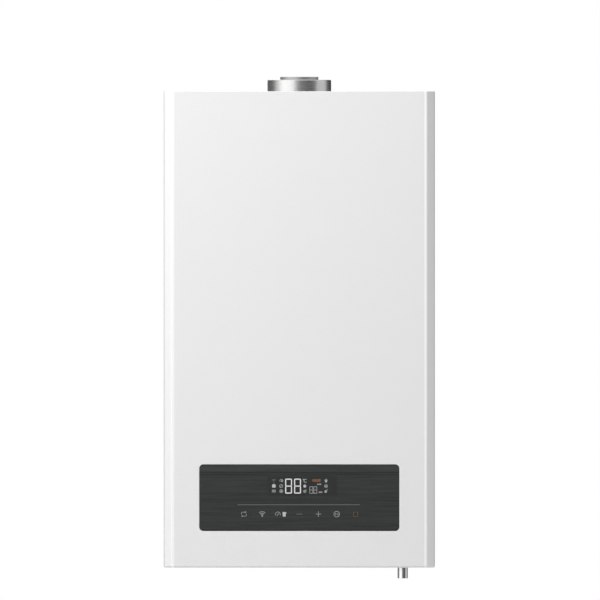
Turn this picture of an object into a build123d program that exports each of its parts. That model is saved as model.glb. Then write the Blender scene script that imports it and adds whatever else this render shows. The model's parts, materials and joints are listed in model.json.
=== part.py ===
from build123d import *
from math import cos, radians, sin
import os

# Wall-hung combi boiler with a fan-assisted flue, seen from the room.
# +X is to the right, -Y comes out of the wall towards the room, +Z is up.
# The wall plane is y = 0, the casing's bottom edge is z = 0 and its centreline is x = 0.
# A "depth" below is a distance from the wall, so a point at depth d has y = -d.

# ---------------------------------------------------------------- casing
CASE_W = 424.0  # width over the side panels
CASE_H = 745.0  # height of the white casing
CASE_D = 320.0  # wall to the face of the front cover
CORNER_CUT = 13.5  # slanted band up either corner of the front cover
CORNER_R = 8.0  # roll from the band into the face and the side
RIM_CUT = 2.2  # slant along the cover's bottom edge
RIM_R = 1.0  # small roll along the cover's top edge
SHEET = 1.2  # painted casing sheet
COVER_SIDE = 69.6  # how far the cover's sides reach back from its face
COVER_LIP = 24.0  # return along the cover's bottom edge
SEAM = 0.4  # gap between the cover's rim and the side panels
FLANGE = 13.0  # turned-in front edge of the side panels and top panel

# ---------------------------------------------------------------- control glass and box
GLASS_W = 312.0
GLASS_H = 103.4
GLASS_R = 6.0
GLASS_T = 3.0
GLASS_Z = 109.5  # height of the glass's centre
GLASS_SINK = 0.6  # glass face behind the cover's face
GLASS_GAP = 0.5  # gap all round the glass in the cover's window
BOX_W = 340.0
BOX_H = 144.0
BOX_Z = 42.0  # underside of the control box
BOX_D = 60.0
BOX_WALL = 2.5
PIVOT_Z = 50.0
PIVOT_IN = 8.0  # pivot ahead of the box's rear face
PIN_R = 4.0
RUN_FIT = 0.05  # radial clearance of a shaft or pin that turns in its hole
DISPLAY_W = 110.0
DISPLAY_H = 46.0
DISPLAY_Z = 124.0
DISPLAY_LAP = 8.0  # display board round its opening
DISPLAY_CHIP = 6.0
LID_T = 2.0
VENTS = 9
VENT_PITCH = 24.0
VENT_W = 4.0
VENT_H = 30.0
BRACKET_T = 2.0
BRACKET_H = 46.0
BRACKET_NOSE = 14.0  # bracket ahead of the pivot
BRACKET_LAP = 6.0
FOOT_L = 14.0
FOOT_W = 16.0
NOTCH_L = 40.0
NOTCH_H = 14.0
NOTCH_SHIFT = 7.0
BOARD_T = 1.6
MAIN_BOARD_D = 14.0  # main board ahead of the box's open back
BOARD_EDGE = 7.5
POST_R = 3.5
POST_IN = 15.0
TALL_PARTS = 24.0
MAINS_SOCKET = (-120.0, -26.0, 44.0, 38.0)  # x, z from the middle, width, height
RELAYS = [(-60.0, -34.0, 18.0, 14.0), (-36.0, -34.0, 18.0, 14.0), (-12.0, -34.0, 18.0, 14.0)]
PLUG_ROW = (120.0, 20.0, 30.0, 54.0)
CAPACITOR_R = 8.0
CAPACITOR_H = 28.0
CAPACITORS = [(70.0, -30.0), (92.0, -30.0)]

# ---------------------------------------------------------------- frame, tray and wall fixing
PLATE = 1.5  # galvanised frame sheet
FRAME_INSET = 17.0  # side panel's outside to the frame's flange
FRAME_W = CASE_W - 2 * FRAME_INSET
FRAME_LIP = 40.0  # forward flanges of the rear frame
SLOT_Z = CASE_H - 40.0  # hanging slots
SLOT_PITCH = 260.0
SLOT_L = 30.0
SLOT_H = 12.0
TRAY_Z = 22.0  # underside of the bottom plate
TRAY_SKIRT = 14.0

# ---------------------------------------------------------------- sealed chamber
ROOM_INSET = 5.0  # frame's flange to the chamber's side
ROOM_W = FRAME_W - 2 * ROOM_INSET
ROOM_Z0 = 262.0
ROOM_Z1 = CASE_H - 20.0
ROOM_BACK = 60.0  # depth of the chamber's rear wall
ROOM_FRONT = CASE_D - 52.0  # depth of its front flange
ROOM_SHEET = 1.0
ROOM_FLANGE = 12.0
GASKET_T = 4.0
SIGHT_X = 62.0
SIGHT_Z = 372.0
SIGHT_R = 16.0
SIGHT_T = 3.0
SIGHT_LAP = 3.0  # glass over the edge of its hole
SCREW_R = 2.0
RIB_D = 3.0  # raised field that stiffens the chamber's panel
RIB_INSET = 40.0
RIB_R = 20.0

# ---------------------------------------------------------------- burner, firebox and heat exchanger
FIRE_W = 224.0  # set by the burner's heat, not by the casing
FIRE_BACK = ROOM_BACK + 38.0
FIRE_FRONT = ROOM_FRONT - 30.0
BURNER_Z0 = ROOM_Z0 + 38.0
BURNER_Z1 = BURNER_Z0 + 45.0
HOOD_TOP = ROOM_Z1 - 25.0
HOOD_SLOPE_Z = HOOD_TOP - 100.0  # foot of the hood's upright riser
EXCH_Z1 = HOOD_SLOPE_Z - 70.0  # top of the heat exchanger
FIRE_Z1 = EXCH_Z1 - 60.0  # top of the firebox
BOARD_FIBRE = 12.0  # ceramic fibre boards
BOARD_EASE = 0.1  # gap at the ends of the two side boards
BLADES = 9
BLADE_T = 9.0
BLADE_WALL = 1.0
BLADE_SLOTS = 4
BLADE_SLOT_H = 5.0
BLADE_LIFT = 1.0  # seat bars under the blades
BLADE_DROP = 2.0  # blade tops below the frame's top
BURNER_SIDE = 12.0  # firebox wall to the first blade's bay
BLADE_END = 8.0
SEAT_IN = 20.0
SEAT_W = 8.0
VENTURI_R = 4.0
VENTURI_UP = 6.0
JET_R = 2.5
JET_L = 4.0
MANIFOLD = 18.0
MANIFOLD_GAP = 6.0
MANIFOLD_SIDE = 8.0
STRAP_W = 6.0
STRAP_IN = 11.0
ELECTRODE_R = 3.5
ELECTRODE_UP = 12.0
ELECTRODE_IN = 32.0
ELECTRODE_OUT = 22.0
ROD_R = 1.0
ROD_L = 30.0
TUBES = 5
TUBE_PITCH = 26.0
TUBE_W = 10.0
TUBE_H = 22.0
TUBE_WALL = 1.0
TUBE_BEVEL = 3.0
TUBE_OUT = 6.0  # tubes reach this far past the end walls
BRAZE = 0.05
FINS = 11
FIN_T = 0.6
FIN_SPAN = FIRE_W - 20.0
FIN_EDGE = 4.0
HEADER_T = 16.0
HEADER_LAP = 4.0
HEADER_RISE = 5.0
HEADER_WALL = 2.0
PIPE_R = 9.0
PIPE_WALL = 1.0

# ---------------------------------------------------------------- hood, fan and flue
HOOD_FLAT = 22.0
HOOD_STEP = 2.0
RISER_IN = 2.0  # riser's rear wall ahead of the firebox's
RISER_W = 120.0
RISER_D = 46.0
HOOD_SHEET = 1.0
FAN_X = -50.0
FAN_Z = HOOD_TOP - 60.0
FAN_D = 44.0  # scroll thickness along the depth
FAN_WALL = 1.2
SCROLL_R0 = 52.0
SCROLL_ARCS = 4
TONGUE_ANGLE = 60.0
OUTLET_W = 48.0
FAN_EYE_R = 32.0
ROTOR_R = 44.0
ROTOR_W = 28.0
ROTOR_DISC = 1.5
ROTOR_EDGE = 1.0
ROTOR_BLADES = 16
ROTOR_BLADE_T = 1.2
BLADE_ROOT = 33.0
BLADE_SWEEP = 6.0
BLADE_BOW = 1.2
ROTOR_SHAFT_R = 3.0
SHAFT_GAP = 2.0
FAN_MOTOR_R = 33.0
FAN_MOTOR_L = 46.0
MOTOR_RIM = 6.0
MOTOR_PLATE = 2.0
MOTOR_CAP = 6.0
FLUE_R = 30.0  # inner flue, 60 mm across
AIR_R = 50.0  # outer air collar, 100 mm across
FLUE_SHEET = 1.0
SWAGE = 0.6
FLUE_TOP = CASE_H + 23.8
AIR_TOP = CASE_H + 18.8
COLLAR_FLANGE_R = 62.0
SEAL_T = 2.0
CONE_TOP = ROOM_Z1 - 3.0
CONE_R = 4.0

# ---------------------------------------------------------------- water and gas parts
PORT_D = 95.0  # depth of the row of connections
PORT_PITCH = 65.0
BIG_THREAD_R = 13.22  # G 3/4
SMALL_THREAD_R = 10.48  # G 1/2
PORT_Z = 4.0  # lower end of the threads
BLOCK_Z0 = 30.0
BLOCK_Z1 = 140.0
BLOCK_X0 = 50.0
BLOCK_X1 = 150.0
BLOCK_BACK = 75.0
BLOCK_FRONT = 150.0
RELIEF_X = 162.4
RELIEF_D = 112.0
RELIEF_R = 8.0
RELIEF_END = -18.8
RELIEF_Z = 60.0
RELIEF_H = 32.0
PUMP_X = 118.0
PUMP_Z = 186.0
PUMP_R = 42.0
PUMP_BACK = 94.0
PUMP_FRONT = 138.0
PUMP_OUT_X = 150.0
PUMP_OUT_Z = 234.0
VALVE_W = 72.0
FLOW_X = -152.0
FLOW_PORT_X = -120.0
DIVERT_X = -110.0
DIVERT_Z = 100.0
PLATES = 6
PLATE_W = 192.0
PLATE_H = 76.0
PLATE_BACK = 32.0
PLATE_FRONT = 72.0
PLATE_UP = 15.0  # its centre above the blocks' mid-height
PLATE_BEVEL = 10.0
PLATE_STEP = 4.0
BOSS_R = 9.0
BOSS_PITCH_X = 152.0
BOSS_PITCH_Z = 40.0
VESSEL_W = 330.0
VESSEL_Z0 = ROOM_Z0 + 30.0
VESSEL_H = ROOM_Z1 - 33.0 - VESSEL_Z0
VESSEL_R = 45.0
VESSEL_RIM = 6.0  # folded seam standing out all round
VESSEL_SEAM_T = 3.0
VESSEL_SHEET = 1.5
VESSEL_GAP = 3.0
STUB_R = 7.0
STUB_L = 10.0
STUB_WALL = 3.0
FILL_X = 98.0
FILL_D = 135.0
TURBINE_X = PORT_PITCH
HOLE_GAP = 1.0  # clearance round whatever passes through a sheet
TOUCH_GAP = 0.3  # curved faces of two pieces that only sit near each other

os.makedirs("parts", exist_ok=True)


def at_depth(depth):
    """Plane facing the room at this distance from the wall; its sketch axes are x and z."""
    return Plane.XZ.offset(depth)


def across(x):
    """Plane facing +X; its sketch axes are y and z."""
    return Plane.YZ.offset(x)


def bent_pipe(points, radii, pipe_r):
    """Round pipe along straight runs joined by tangent arcs; its sealed bore is left solid."""
    with BuildPart() as pipe:
        with BuildLine() as route:
            FilletPolyline(*points, radius=radii)
        with BuildSketch(Plane(route.line @ 0, z_dir=route.line % 0)):
            Circle(pipe_r)
        sweep()
    return pipe.part


def bent_hose(points, radii, hose_r):
    """Slim silicone hose, drawn six-sided along straight runs joined by tangent arcs."""
    with BuildPart() as hose:
        with BuildLine() as route:
            FilletPolyline(*points, radius=radii)
        with BuildSketch(Plane(route.line @ 0, z_dir=route.line % 0)):
            RegularPolygon(hose_r, 6)
        sweep()
    return hose.part


def flat_tube(height, width, grow=0, mode=Mode.ADD):
    """Flattened exchanger tube's section: flat sides and bevelled ends."""
    with BuildSketch(mode=Mode.PRIVATE) as section:
        Rectangle(width + 2 * grow, height + 2 * grow)
        chamfer(section.vertices(), TUBE_BEVEL)
    add(section.sketch, mode=mode)


# ================================================================ casing
cover_back = CASE_D - COVER_SIDE
panel_front = cover_back - SEAM
side_top = CASE_H - SHEET


def ahead_of_seam(edge):
    """True for the cover's edges that aren't along its open rear rim."""
    return edge.center().Y < -cover_back - SHEET


with BuildPart() as front_cover:
    with BuildSketch(at_depth(cover_back)):
        with Locations((0, CASE_H / 2)):
            Rectangle(CASE_W, CASE_H)
    extrude(amount=COVER_SIDE)
    chamfer(front_cover.edges().filter_by(Axis.Z).group_by(Axis.Y)[0], CORNER_CUT)
    fillet(front_cover.edges().filter_by(Axis.Z).filter_by(ahead_of_seam), CORNER_R)
    chamfer(front_cover.faces().sort_by(Axis.Z)[0].edges().filter_by(ahead_of_seam), RIM_CUT)
    offset(amount=-SHEET, openings=front_cover.faces().sort_by(Axis.Y)[-1])
    fillet(front_cover.faces().sort_by(Axis.Z)[-1].edges().filter_by(ahead_of_seam), RIM_R)
    with BuildSketch(at_depth(CASE_D - COVER_LIP / 2)):
        with Locations((0, GLASS_Z)):
            RectangleRounded(GLASS_W + 2 * GLASS_GAP, GLASS_H + 2 * GLASS_GAP, GLASS_R + GLASS_GAP)
    extrude(amount=COVER_LIP, mode=Mode.SUBTRACT)
    with BuildSketch(Plane.XY):
        with Locations((0, -(cover_back + CASE_D - COVER_LIP) / 2)):
            Rectangle(CASE_W - 2 * SHEET, COVER_SIDE - COVER_LIP)
    extrude(amount=SHEET, mode=Mode.SUBTRACT)

with BuildPart() as right_side_panel:
    with BuildSketch(Plane.XY):
        with Locations((CASE_W / 2, 0)):
            Rectangle(SHEET, panel_front, align=(Align.MAX, Align.MAX))
            Rectangle((CASE_W - FRAME_W) / 2, SHEET, align=(Align.MAX, Align.MAX))
        with Locations((CASE_W / 2, -panel_front)):
            Rectangle(FLANGE, SHEET, align=(Align.MAX, Align.MIN))
    extrude(amount=side_top)

with BuildPart() as left_side_panel:
    mirror(right_side_panel.part, about=Plane.YZ)

flue_depth = FIRE_BACK + RISER_IN + RISER_D + FAN_D / 2

with BuildPart() as top_panel:
    with BuildSketch(Plane.XY.offset(side_top)):
        Rectangle(CASE_W, panel_front, align=(Align.CENTER, Align.MAX))
        with Locations((0, -flue_depth)):
            Circle(AIR_R + 2 * SWAGE, mode=Mode.SUBTRACT)
    extrude(amount=SHEET)
    with BuildSketch(at_depth(panel_front - SHEET)):
        with Locations((0, side_top)):
            Rectangle(CASE_W - 2 * FLANGE, FLANGE, align=(Align.CENTER, Align.MAX))
    extrude(amount=SHEET)

tray_top = TRAY_Z + PLATE

with BuildPart() as rear_frame:
    with BuildSketch(at_depth(0)):
        with Locations((0, side_top / 2)):
            Rectangle(FRAME_W, side_top)
        with Locations((-SLOT_PITCH / 2, SLOT_Z), (SLOT_PITCH / 2, SLOT_Z)):
            SlotOverall(SLOT_L, SLOT_H, mode=Mode.SUBTRACT)
    extrude(amount=PLATE)
    with BuildSketch(Plane.XY.offset(tray_top)):
        for side in (-1, 1):
            with Locations((side * (FRAME_W - PLATE) / 2, -PLATE - FRAME_LIP / 2)):
                Rectangle(PLATE, FRAME_LIP)
    extrude(amount=side_top - tray_top)

ports = [
    (-2 * PORT_PITCH, BIG_THREAD_R),
    (-PORT_PITCH, SMALL_THREAD_R),
    (0, BIG_THREAD_R),
    (PORT_PITCH, SMALL_THREAD_R),
    (2 * PORT_PITCH, BIG_THREAD_R),
]
NECK_STEP = 2.0  # how much slimmer a nipple's neck is than its thread
GLAND_X = -(CASE_W / 2 - 36.0)
GLAND_D = 60.0
GLAND_R = 10.0
GLAND_NUT = 4.0
GLAND_L = 10.0
CABLE_R = 4.5

with BuildPart() as bottom_plate:
    with BuildSketch(Plane.XY.offset(TRAY_Z)):
        with Locations((0, -PLATE)):
            Rectangle(CASE_W - 2 * SHEET, panel_front - SHEET - PLATE, align=(Align.CENTER, Align.MAX))
        for x, thread_r in ports:
            with Locations((x, -PORT_D)):
                Circle(thread_r - NECK_STEP + HOLE_GAP, mode=Mode.SUBTRACT)
        with Locations((RELIEF_X, -RELIEF_D)):
            Circle(RELIEF_R + HOLE_GAP, mode=Mode.SUBTRACT)
        with Locations((GLAND_X, -GLAND_D)):
            Circle(GLAND_R - NECK_STEP, mode=Mode.SUBTRACT)
        with Locations((FILL_X, -FILL_D)):
            Circle(PIN_R + HOLE_GAP, mode=Mode.SUBTRACT)
    extrude(amount=PLATE)
    with BuildSketch(at_depth(panel_front - SHEET - PLATE)):
        with Locations((0, TRAY_Z)):
            Rectangle(CASE_W - 2 * SHEET, TRAY_SKIRT, align=(Align.CENTER, Align.MAX))
    extrude(amount=PLATE)

# ================================================================ control box that swings down
glass_front = CASE_D - GLASS_SINK
box_front = glass_front - GLASS_T
box_back = box_front - BOX_D
box_mid = BOX_Z + BOX_H / 2
pivot_depth = box_back + PIVOT_IN

with BuildPart() as control_glass:
    with BuildSketch(at_depth(box_front)):
        with Locations((0, GLASS_Z)):
            RectangleRounded(GLASS_W, GLASS_H, GLASS_R)
    extrude(amount=GLASS_T)

with BuildPart() as control_box:
    with BuildSketch(at_depth(box_back)):
        with Locations((0, box_mid)):
            RectangleRounded(BOX_W, BOX_H, GLASS_R)
    extrude(amount=BOX_D)
    with BuildSketch(at_depth(box_back)):
        with Locations((0, box_mid)):
            RectangleRounded(BOX_W - 2 * BOX_WALL, BOX_H - 2 * BOX_WALL, GLASS_R - BOX_WALL)
    extrude(amount=BOX_D - BOX_WALL, mode=Mode.SUBTRACT)
    with BuildSketch(at_depth(box_front - BOX_WALL)):
        with Locations((0, DISPLAY_Z)):
            Rectangle(DISPLAY_W, DISPLAY_H)
    extrude(amount=BOX_WALL, mode=Mode.SUBTRACT)
    for side in (-1, 1):
        with BuildSketch(across(side * BOX_W / 2)):
            with Locations((-pivot_depth, PIVOT_Z)):
                Circle(PIN_R)
        extrude(amount=side * (BRACKET_T + 2 * PIN_R))

with BuildPart() as control_box_lid:
    with BuildSketch(at_depth(box_back - LID_T)):
        with Locations((0, box_mid)):
            RectangleRounded(BOX_W, BOX_H, GLASS_R)
        with GridLocations(VENT_PITCH, 1, VENTS, 1):
            with Locations((0, box_mid + BOX_H / 4)):
                Rectangle(VENT_W, VENT_H, mode=Mode.SUBTRACT)
    extrude(amount=LID_T)

with BuildPart() as main_circuit_board:
    board_depth = box_back + MAIN_BOARD_D
    with BuildSketch(at_depth(board_depth)):
        with Locations((0, box_mid)):
            Rectangle(BOX_W - 2 * BOARD_EDGE, BOX_H - 2 * BOARD_EDGE)
    extrude(amount=BOARD_T)
    with BuildSketch(at_depth(board_depth + BOARD_T)):
        for x, z, width, height in [MAINS_SOCKET, *RELAYS, PLUG_ROW]:
            with Locations((x, box_mid + z)):
                Rectangle(width, height)
    extrude(amount=TALL_PARTS)
    with BuildSketch(at_depth(board_depth + BOARD_T)):
        with Locations(*[(x, box_mid + z) for x, z in CAPACITORS]):
            Circle(CAPACITOR_R)
    extrude(amount=CAPACITOR_H)
    with BuildSketch(at_depth(board_depth - MAIN_BOARD_D)):
        with Locations((0, box_mid)):
            with GridLocations(BOX_W - 2 * POST_IN, BOX_H - 2 * POST_IN, 2, 2):
                Rectangle(2 * POST_R, 2 * POST_R)
    extrude(amount=MAIN_BOARD_D)

with BuildPart() as display_board:
    rear_face = box_front - BOX_WALL - BOARD_T
    with BuildSketch(at_depth(rear_face)):
        with Locations((0, DISPLAY_Z)):
            Rectangle(DISPLAY_W + 2 * DISPLAY_LAP, DISPLAY_H + 2 * DISPLAY_LAP)
    extrude(amount=BOARD_T)
    with BuildSketch(at_depth(rear_face - DISPLAY_CHIP)):
        with Locations((0, DISPLAY_Z)):
            Rectangle(DISPLAY_W / 2, DISPLAY_H / 3)
    extrude(amount=DISPLAY_CHIP)

bracket_x = BOX_W / 2 + HOLE_GAP
bracket_back = panel_front - SHEET - PLATE
bracket_front = pivot_depth + BRACKET_NOSE

with BuildPart() as control_box_brackets:
    for side in (-1, 1):
        with BuildSketch(across(side * bracket_x)):
            with Locations((-bracket_back, tray_top)):
                Rectangle(bracket_front - bracket_back, BRACKET_H, align=(Align.MAX, Align.MIN))
            with Locations((-pivot_depth, PIVOT_Z)):
                Circle(PIN_R + RUN_FIT, mode=Mode.SUBTRACT)
            with Locations((-pivot_depth - NOTCH_SHIFT, tray_top)):
                Rectangle(NOTCH_L, NOTCH_H, align=(Align.CENTER, Align.MIN), mode=Mode.SUBTRACT)
            with Locations((FOOT_L - bracket_back, tray_top)):
                Rectangle(FOOT_L + BRACKET_LAP, BRACKET_H, align=(Align.MAX, Align.MIN))
        extrude(amount=side * BRACKET_T)
        with BuildSketch(Plane.XY.offset(tray_top)):
            with Locations((side * bracket_x, -bracket_back)):
                edge = Align.MIN if side > 0 else Align.MAX
                Rectangle(FOOT_W, FOOT_L, align=(edge, Align.MIN))
        extrude(amount=BRACKET_T)

# ================================================================ sealed chamber
room_mid = (ROOM_Z0 + ROOM_Z1) / 2
room_h = ROOM_Z1 - ROOM_Z0
exch_mid = (FIRE_Z1 + EXCH_Z1) / 2
first_tube = (FIRE_BACK + FIRE_FRONT) / 2 - (TUBES - 1) / 2 * TUBE_PITCH
last_tube = first_tube + (TUBES - 1) * TUBE_PITCH
manifold_depth = FIRE_FRONT + MANIFOLD_GAP + MANIFOLD / 2

with BuildPart() as chamber_box:
    with BuildSketch(Plane.XY.offset(ROOM_Z0)):
        for side in (-1, 1):
            with Locations((side * (ROOM_W - ROOM_SHEET) / 2, -(PLATE + ROOM_FRONT) / 2)):
                Rectangle(ROOM_SHEET, ROOM_FRONT - PLATE)
        with Locations((0, -ROOM_BACK)):
            Rectangle(ROOM_W, ROOM_SHEET, align=(Align.CENTER, Align.MIN))
    extrude(amount=room_h)
    with BuildSketch(Plane.XY.offset(ROOM_Z0)):
        with Locations((0, -(ROOM_BACK + ROOM_FRONT) / 2)):
            Rectangle(ROOM_W, ROOM_FRONT - ROOM_BACK)
        with Locations((FLOW_X, -last_tube), (PUMP_OUT_X, -first_tube), (0, -manifold_depth)):
            Circle(PIPE_R + HOLE_GAP, mode=Mode.SUBTRACT)
    extrude(amount=ROOM_SHEET)
    with BuildSketch(Plane.XY.offset(ROOM_Z1 - ROOM_SHEET)):
        with Locations((0, -(ROOM_BACK + ROOM_FRONT) / 2)):
            Rectangle(ROOM_W, ROOM_FRONT - ROOM_BACK)
        with Locations((0, -flue_depth)):
            Circle(AIR_R - FLUE_SHEET, mode=Mode.SUBTRACT)
    extrude(amount=ROOM_SHEET)
    with BuildSketch(at_depth(ROOM_FRONT - ROOM_SHEET)):
        with Locations((0, room_mid)):
            Rectangle(ROOM_W, room_h)
            Rectangle(ROOM_W - 2 * ROOM_FLANGE, room_h - 2 * ROOM_FLANGE, mode=Mode.SUBTRACT)
    extrude(amount=ROOM_SHEET)

with BuildPart() as chamber_gasket:
    with BuildSketch(at_depth(ROOM_FRONT)):
        with Locations((0, room_mid)):
            Rectangle(ROOM_W, room_h)
            Rectangle(ROOM_W - 2 * ROOM_FLANGE, room_h - 2 * ROOM_FLANGE, mode=Mode.SUBTRACT)
    extrude(amount=GASKET_T)

panel_depth = ROOM_FRONT + GASKET_T
rib_wall = 2 * ROOM_SHEET

with BuildPart() as chamber_panel:
    with BuildSketch(at_depth(panel_depth)):
        with Locations((0, room_mid)):
            Rectangle(ROOM_W, room_h)
    extrude(amount=ROOM_SHEET)
    with BuildSketch(at_depth(panel_depth + ROOM_SHEET)):
        with Locations((0, room_mid)):
            RectangleRounded(ROOM_W - 2 * RIB_INSET, room_h - 2 * RIB_INSET, RIB_R)
    extrude(amount=RIB_D, taper=45)
    with BuildSketch(at_depth(panel_depth)):
        with Locations((0, room_mid)):
            inside = RIB_INSET + rib_wall
            RectangleRounded(ROOM_W - 2 * inside, room_h - 2 * inside, RIB_R - rib_wall)
    extrude(amount=RIB_D, taper=45, mode=Mode.SUBTRACT)
    with BuildSketch(at_depth(panel_depth)):
        with Locations((SIGHT_X, SIGHT_Z)):
            Circle(SIGHT_R - SIGHT_LAP)
    extrude(amount=3 * RIB_D, mode=Mode.SUBTRACT)

with BuildPart() as sight_glass:
    with BuildSketch(at_depth(panel_depth + ROOM_SHEET + RIB_D)):
        with Locations((SIGHT_X, SIGHT_Z)):
            Circle(SIGHT_R)
    extrude(amount=SIGHT_T)

with BuildPart() as chamber_panel_screws:
    with BuildSketch(at_depth(panel_depth + ROOM_SHEET)):
        with Locations((0, room_mid)):
            with GridLocations(ROOM_W - ROOM_FLANGE, (room_h - ROOM_FLANGE) / 2, 2, 3):
                Circle(2 * SCREW_R)
    extrude(amount=SCREW_R)

# ================================================================ burner and firebox
fire_mid = (FIRE_BACK + FIRE_FRONT) / 2
fire_d = FIRE_FRONT - FIRE_BACK
blade_pitch = (FIRE_W - 2 * BURNER_SIDE) / BLADES
blade_xs = [(i - (BLADES - 1) / 2) * blade_pitch for i in range(BLADES)]
venturi_z = BURNER_Z0 + VENTURI_UP
blade_d = fire_d - 2 * BLADE_END
slots_z = BURNER_Z1 - BLADE_DROP - BLADE_SLOT_H


def fire_wall(z0, z1, wall):
    """Four upright walls on the firebox outline, open above and below."""
    with BuildPart() as walls:
        with BuildSketch(Plane.XY.offset(z0)):
            with Locations((0, -fire_mid)):
                Rectangle(FIRE_W, fire_d)
                Rectangle(FIRE_W - 2 * wall, fire_d - 2 * wall, mode=Mode.SUBTRACT)
        extrude(amount=z1 - z0)
    return walls.part


with BuildPart() as burner_blades:
    with BuildSketch(Plane.XY.offset(BURNER_Z0 + BLADE_LIFT)):
        with Locations(*[(x, -fire_mid) for x in blade_xs]):
            Rectangle(BLADE_T, blade_d)
    extrude(amount=slots_z - BURNER_Z0 - BLADE_LIFT)
    with BuildSketch(Plane.XY.offset(slots_z)):
        with Locations(*[(x, -fire_mid) for x in blade_xs]):
            Rectangle(BLADE_T, blade_d)
        with Locations(*[(x, -fire_mid) for x in blade_xs]):
            with GridLocations(1, blade_d / BLADE_SLOTS, 1, BLADE_SLOTS):
                Rectangle(BLADE_T - 2 * BLADE_WALL, blade_d / BLADE_SLOTS / 2, mode=Mode.SUBTRACT)
    extrude(amount=BLADE_SLOT_H)
    with BuildSketch(at_depth(fire_mid + blade_d / 2)):
        with Locations(*[(x, venturi_z) for x in blade_xs]):
            RegularPolygon(VENTURI_R, 6)
    extrude(amount=(fire_d - blade_d) / 2)

burner_walls = fire_wall(BURNER_Z0, BURNER_Z1, ROOM_SHEET)
firebox_walls = fire_wall(BURNER_Z1, FIRE_Z1, ROOM_SHEET)
exchanger_walls = fire_wall(FIRE_Z1, EXCH_Z1, 2 * ROOM_SHEET)

with BuildPart() as burner_frame:
    add(burner_walls)
    with BuildSketch(Plane.XY.offset(ROOM_Z0 + ROOM_SHEET)):
        for side in (-1, 1):
            with Locations((side * (FIRE_W - ROOM_SHEET) / 2, -fire_mid)):
                Rectangle(ROOM_SHEET, fire_d)
    extrude(amount=BURNER_Z0 - ROOM_Z0 - ROOM_SHEET)
    with BuildSketch(Plane.XY.offset(BURNER_Z0)):
        for depth in (FIRE_BACK + SEAT_IN, FIRE_FRONT - SEAT_IN):
            with Locations((0, -depth)):
                Rectangle(FIRE_W, SEAT_W)
    extrude(amount=BLADE_LIFT)
    with BuildSketch(at_depth(FIRE_FRONT - ROOM_SHEET)):
        with Locations(*[(x, venturi_z) for x in blade_xs]):
            RegularPolygon(VENTURI_R + TOUCH_GAP, 6)
    extrude(amount=ROOM_SHEET, mode=Mode.SUBTRACT)

with BuildPart() as gas_manifold:
    with BuildSketch(at_depth(manifold_depth - MANIFOLD / 2)):
        with Locations((0, venturi_z)):
            Rectangle(FIRE_W - 2 * MANIFOLD_SIDE, MANIFOLD)
    extrude(amount=MANIFOLD)
    with BuildSketch(at_depth(manifold_depth - MANIFOLD / 2 - JET_L)):
        with Locations(*[(x, venturi_z) for x in blade_xs]):
            RegularPolygon(JET_R, 6)
    extrude(amount=JET_L)
    with BuildSketch(at_depth(FIRE_FRONT)):
        for side in (-1, 1):
            with Locations((side * (FIRE_W / 2 - STRAP_IN), venturi_z)):
                Rectangle(STRAP_W, MANIFOLD)
    extrude(amount=MANIFOLD_GAP)

electrode_z = BURNER_Z1 + ELECTRODE_UP
electrode_xs = (-24.0, -10.0, 30.0)  # a pair of spark rods and a flame sensor

with BuildPart() as combustion_chamber:
    add(firebox_walls)
    with BuildSketch(at_depth(FIRE_FRONT - ROOM_SHEET)):
        with Locations(*[(x, electrode_z) for x in electrode_xs]):
            Circle(ELECTRODE_R + TOUCH_GAP)
    extrude(amount=ROOM_SHEET, mode=Mode.SUBTRACT)

with BuildPart() as insulation_boards:
    inner_w = FIRE_W - 2 * ROOM_SHEET
    inner_d = fire_d - 2 * ROOM_SHEET
    with BuildSketch(Plane.XY.offset(BURNER_Z1 + ROOM_SHEET)):
        for side in (-1, 1):
            with Locations((0, -fire_mid + side * (inner_d - BOARD_FIBRE) / 2)):
                Rectangle(inner_w, BOARD_FIBRE)
            with Locations((side * (inner_w - BOARD_FIBRE) / 2, -fire_mid)):
                Rectangle(BOARD_FIBRE, inner_d - 2 * BOARD_FIBRE - 2 * BOARD_EASE)
    extrude(amount=FIRE_Z1 - BURNER_Z1 - 2 * ROOM_SHEET)
    with BuildSketch(at_depth(FIRE_FRONT - ROOM_SHEET - BOARD_FIBRE)):
        with Locations(*[(x, electrode_z) for x in electrode_xs]):
            Circle(ELECTRODE_R + TOUCH_GAP)
    extrude(amount=BOARD_FIBRE, mode=Mode.SUBTRACT)

with BuildPart() as electrodes:
    with BuildSketch(at_depth(FIRE_FRONT - ELECTRODE_IN)):
        with Locations(*[(x, electrode_z) for x in electrode_xs]):
            Circle(ELECTRODE_R)
    extrude(amount=ELECTRODE_IN + ELECTRODE_OUT)
    with BuildSketch(at_depth(FIRE_FRONT - ELECTRODE_IN - ROD_L)):
        with Locations(*[(x, electrode_z) for x in electrode_xs]):
            RegularPolygon(ROD_R, 6)
    extrude(amount=ROD_L)

# ================================================================ finned copper heat exchanger
tube_depths = [first_tube + i * TUBE_PITCH for i in range(TUBES)]


def tube_outlines(plane, grow, wall=0):
    """Flattened tube outlines on a plane facing +X, grown by a clearance; a wall makes them rings."""
    with BuildSketch(plane) as outline:
        with Locations(*[(-depth, exch_mid) for depth in tube_depths]):
            flat_tube(TUBE_H, TUBE_W, grow)
            if wall:
                flat_tube(TUBE_H, TUBE_W, -wall, Mode.SUBTRACT)
    return outline.sketch


with BuildPart() as exchanger_tubes:
    extrude(tube_outlines(across(-FIRE_W / 2 - TUBE_OUT), 0, TUBE_WALL), FIRE_W + 2 * TUBE_OUT)

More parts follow.
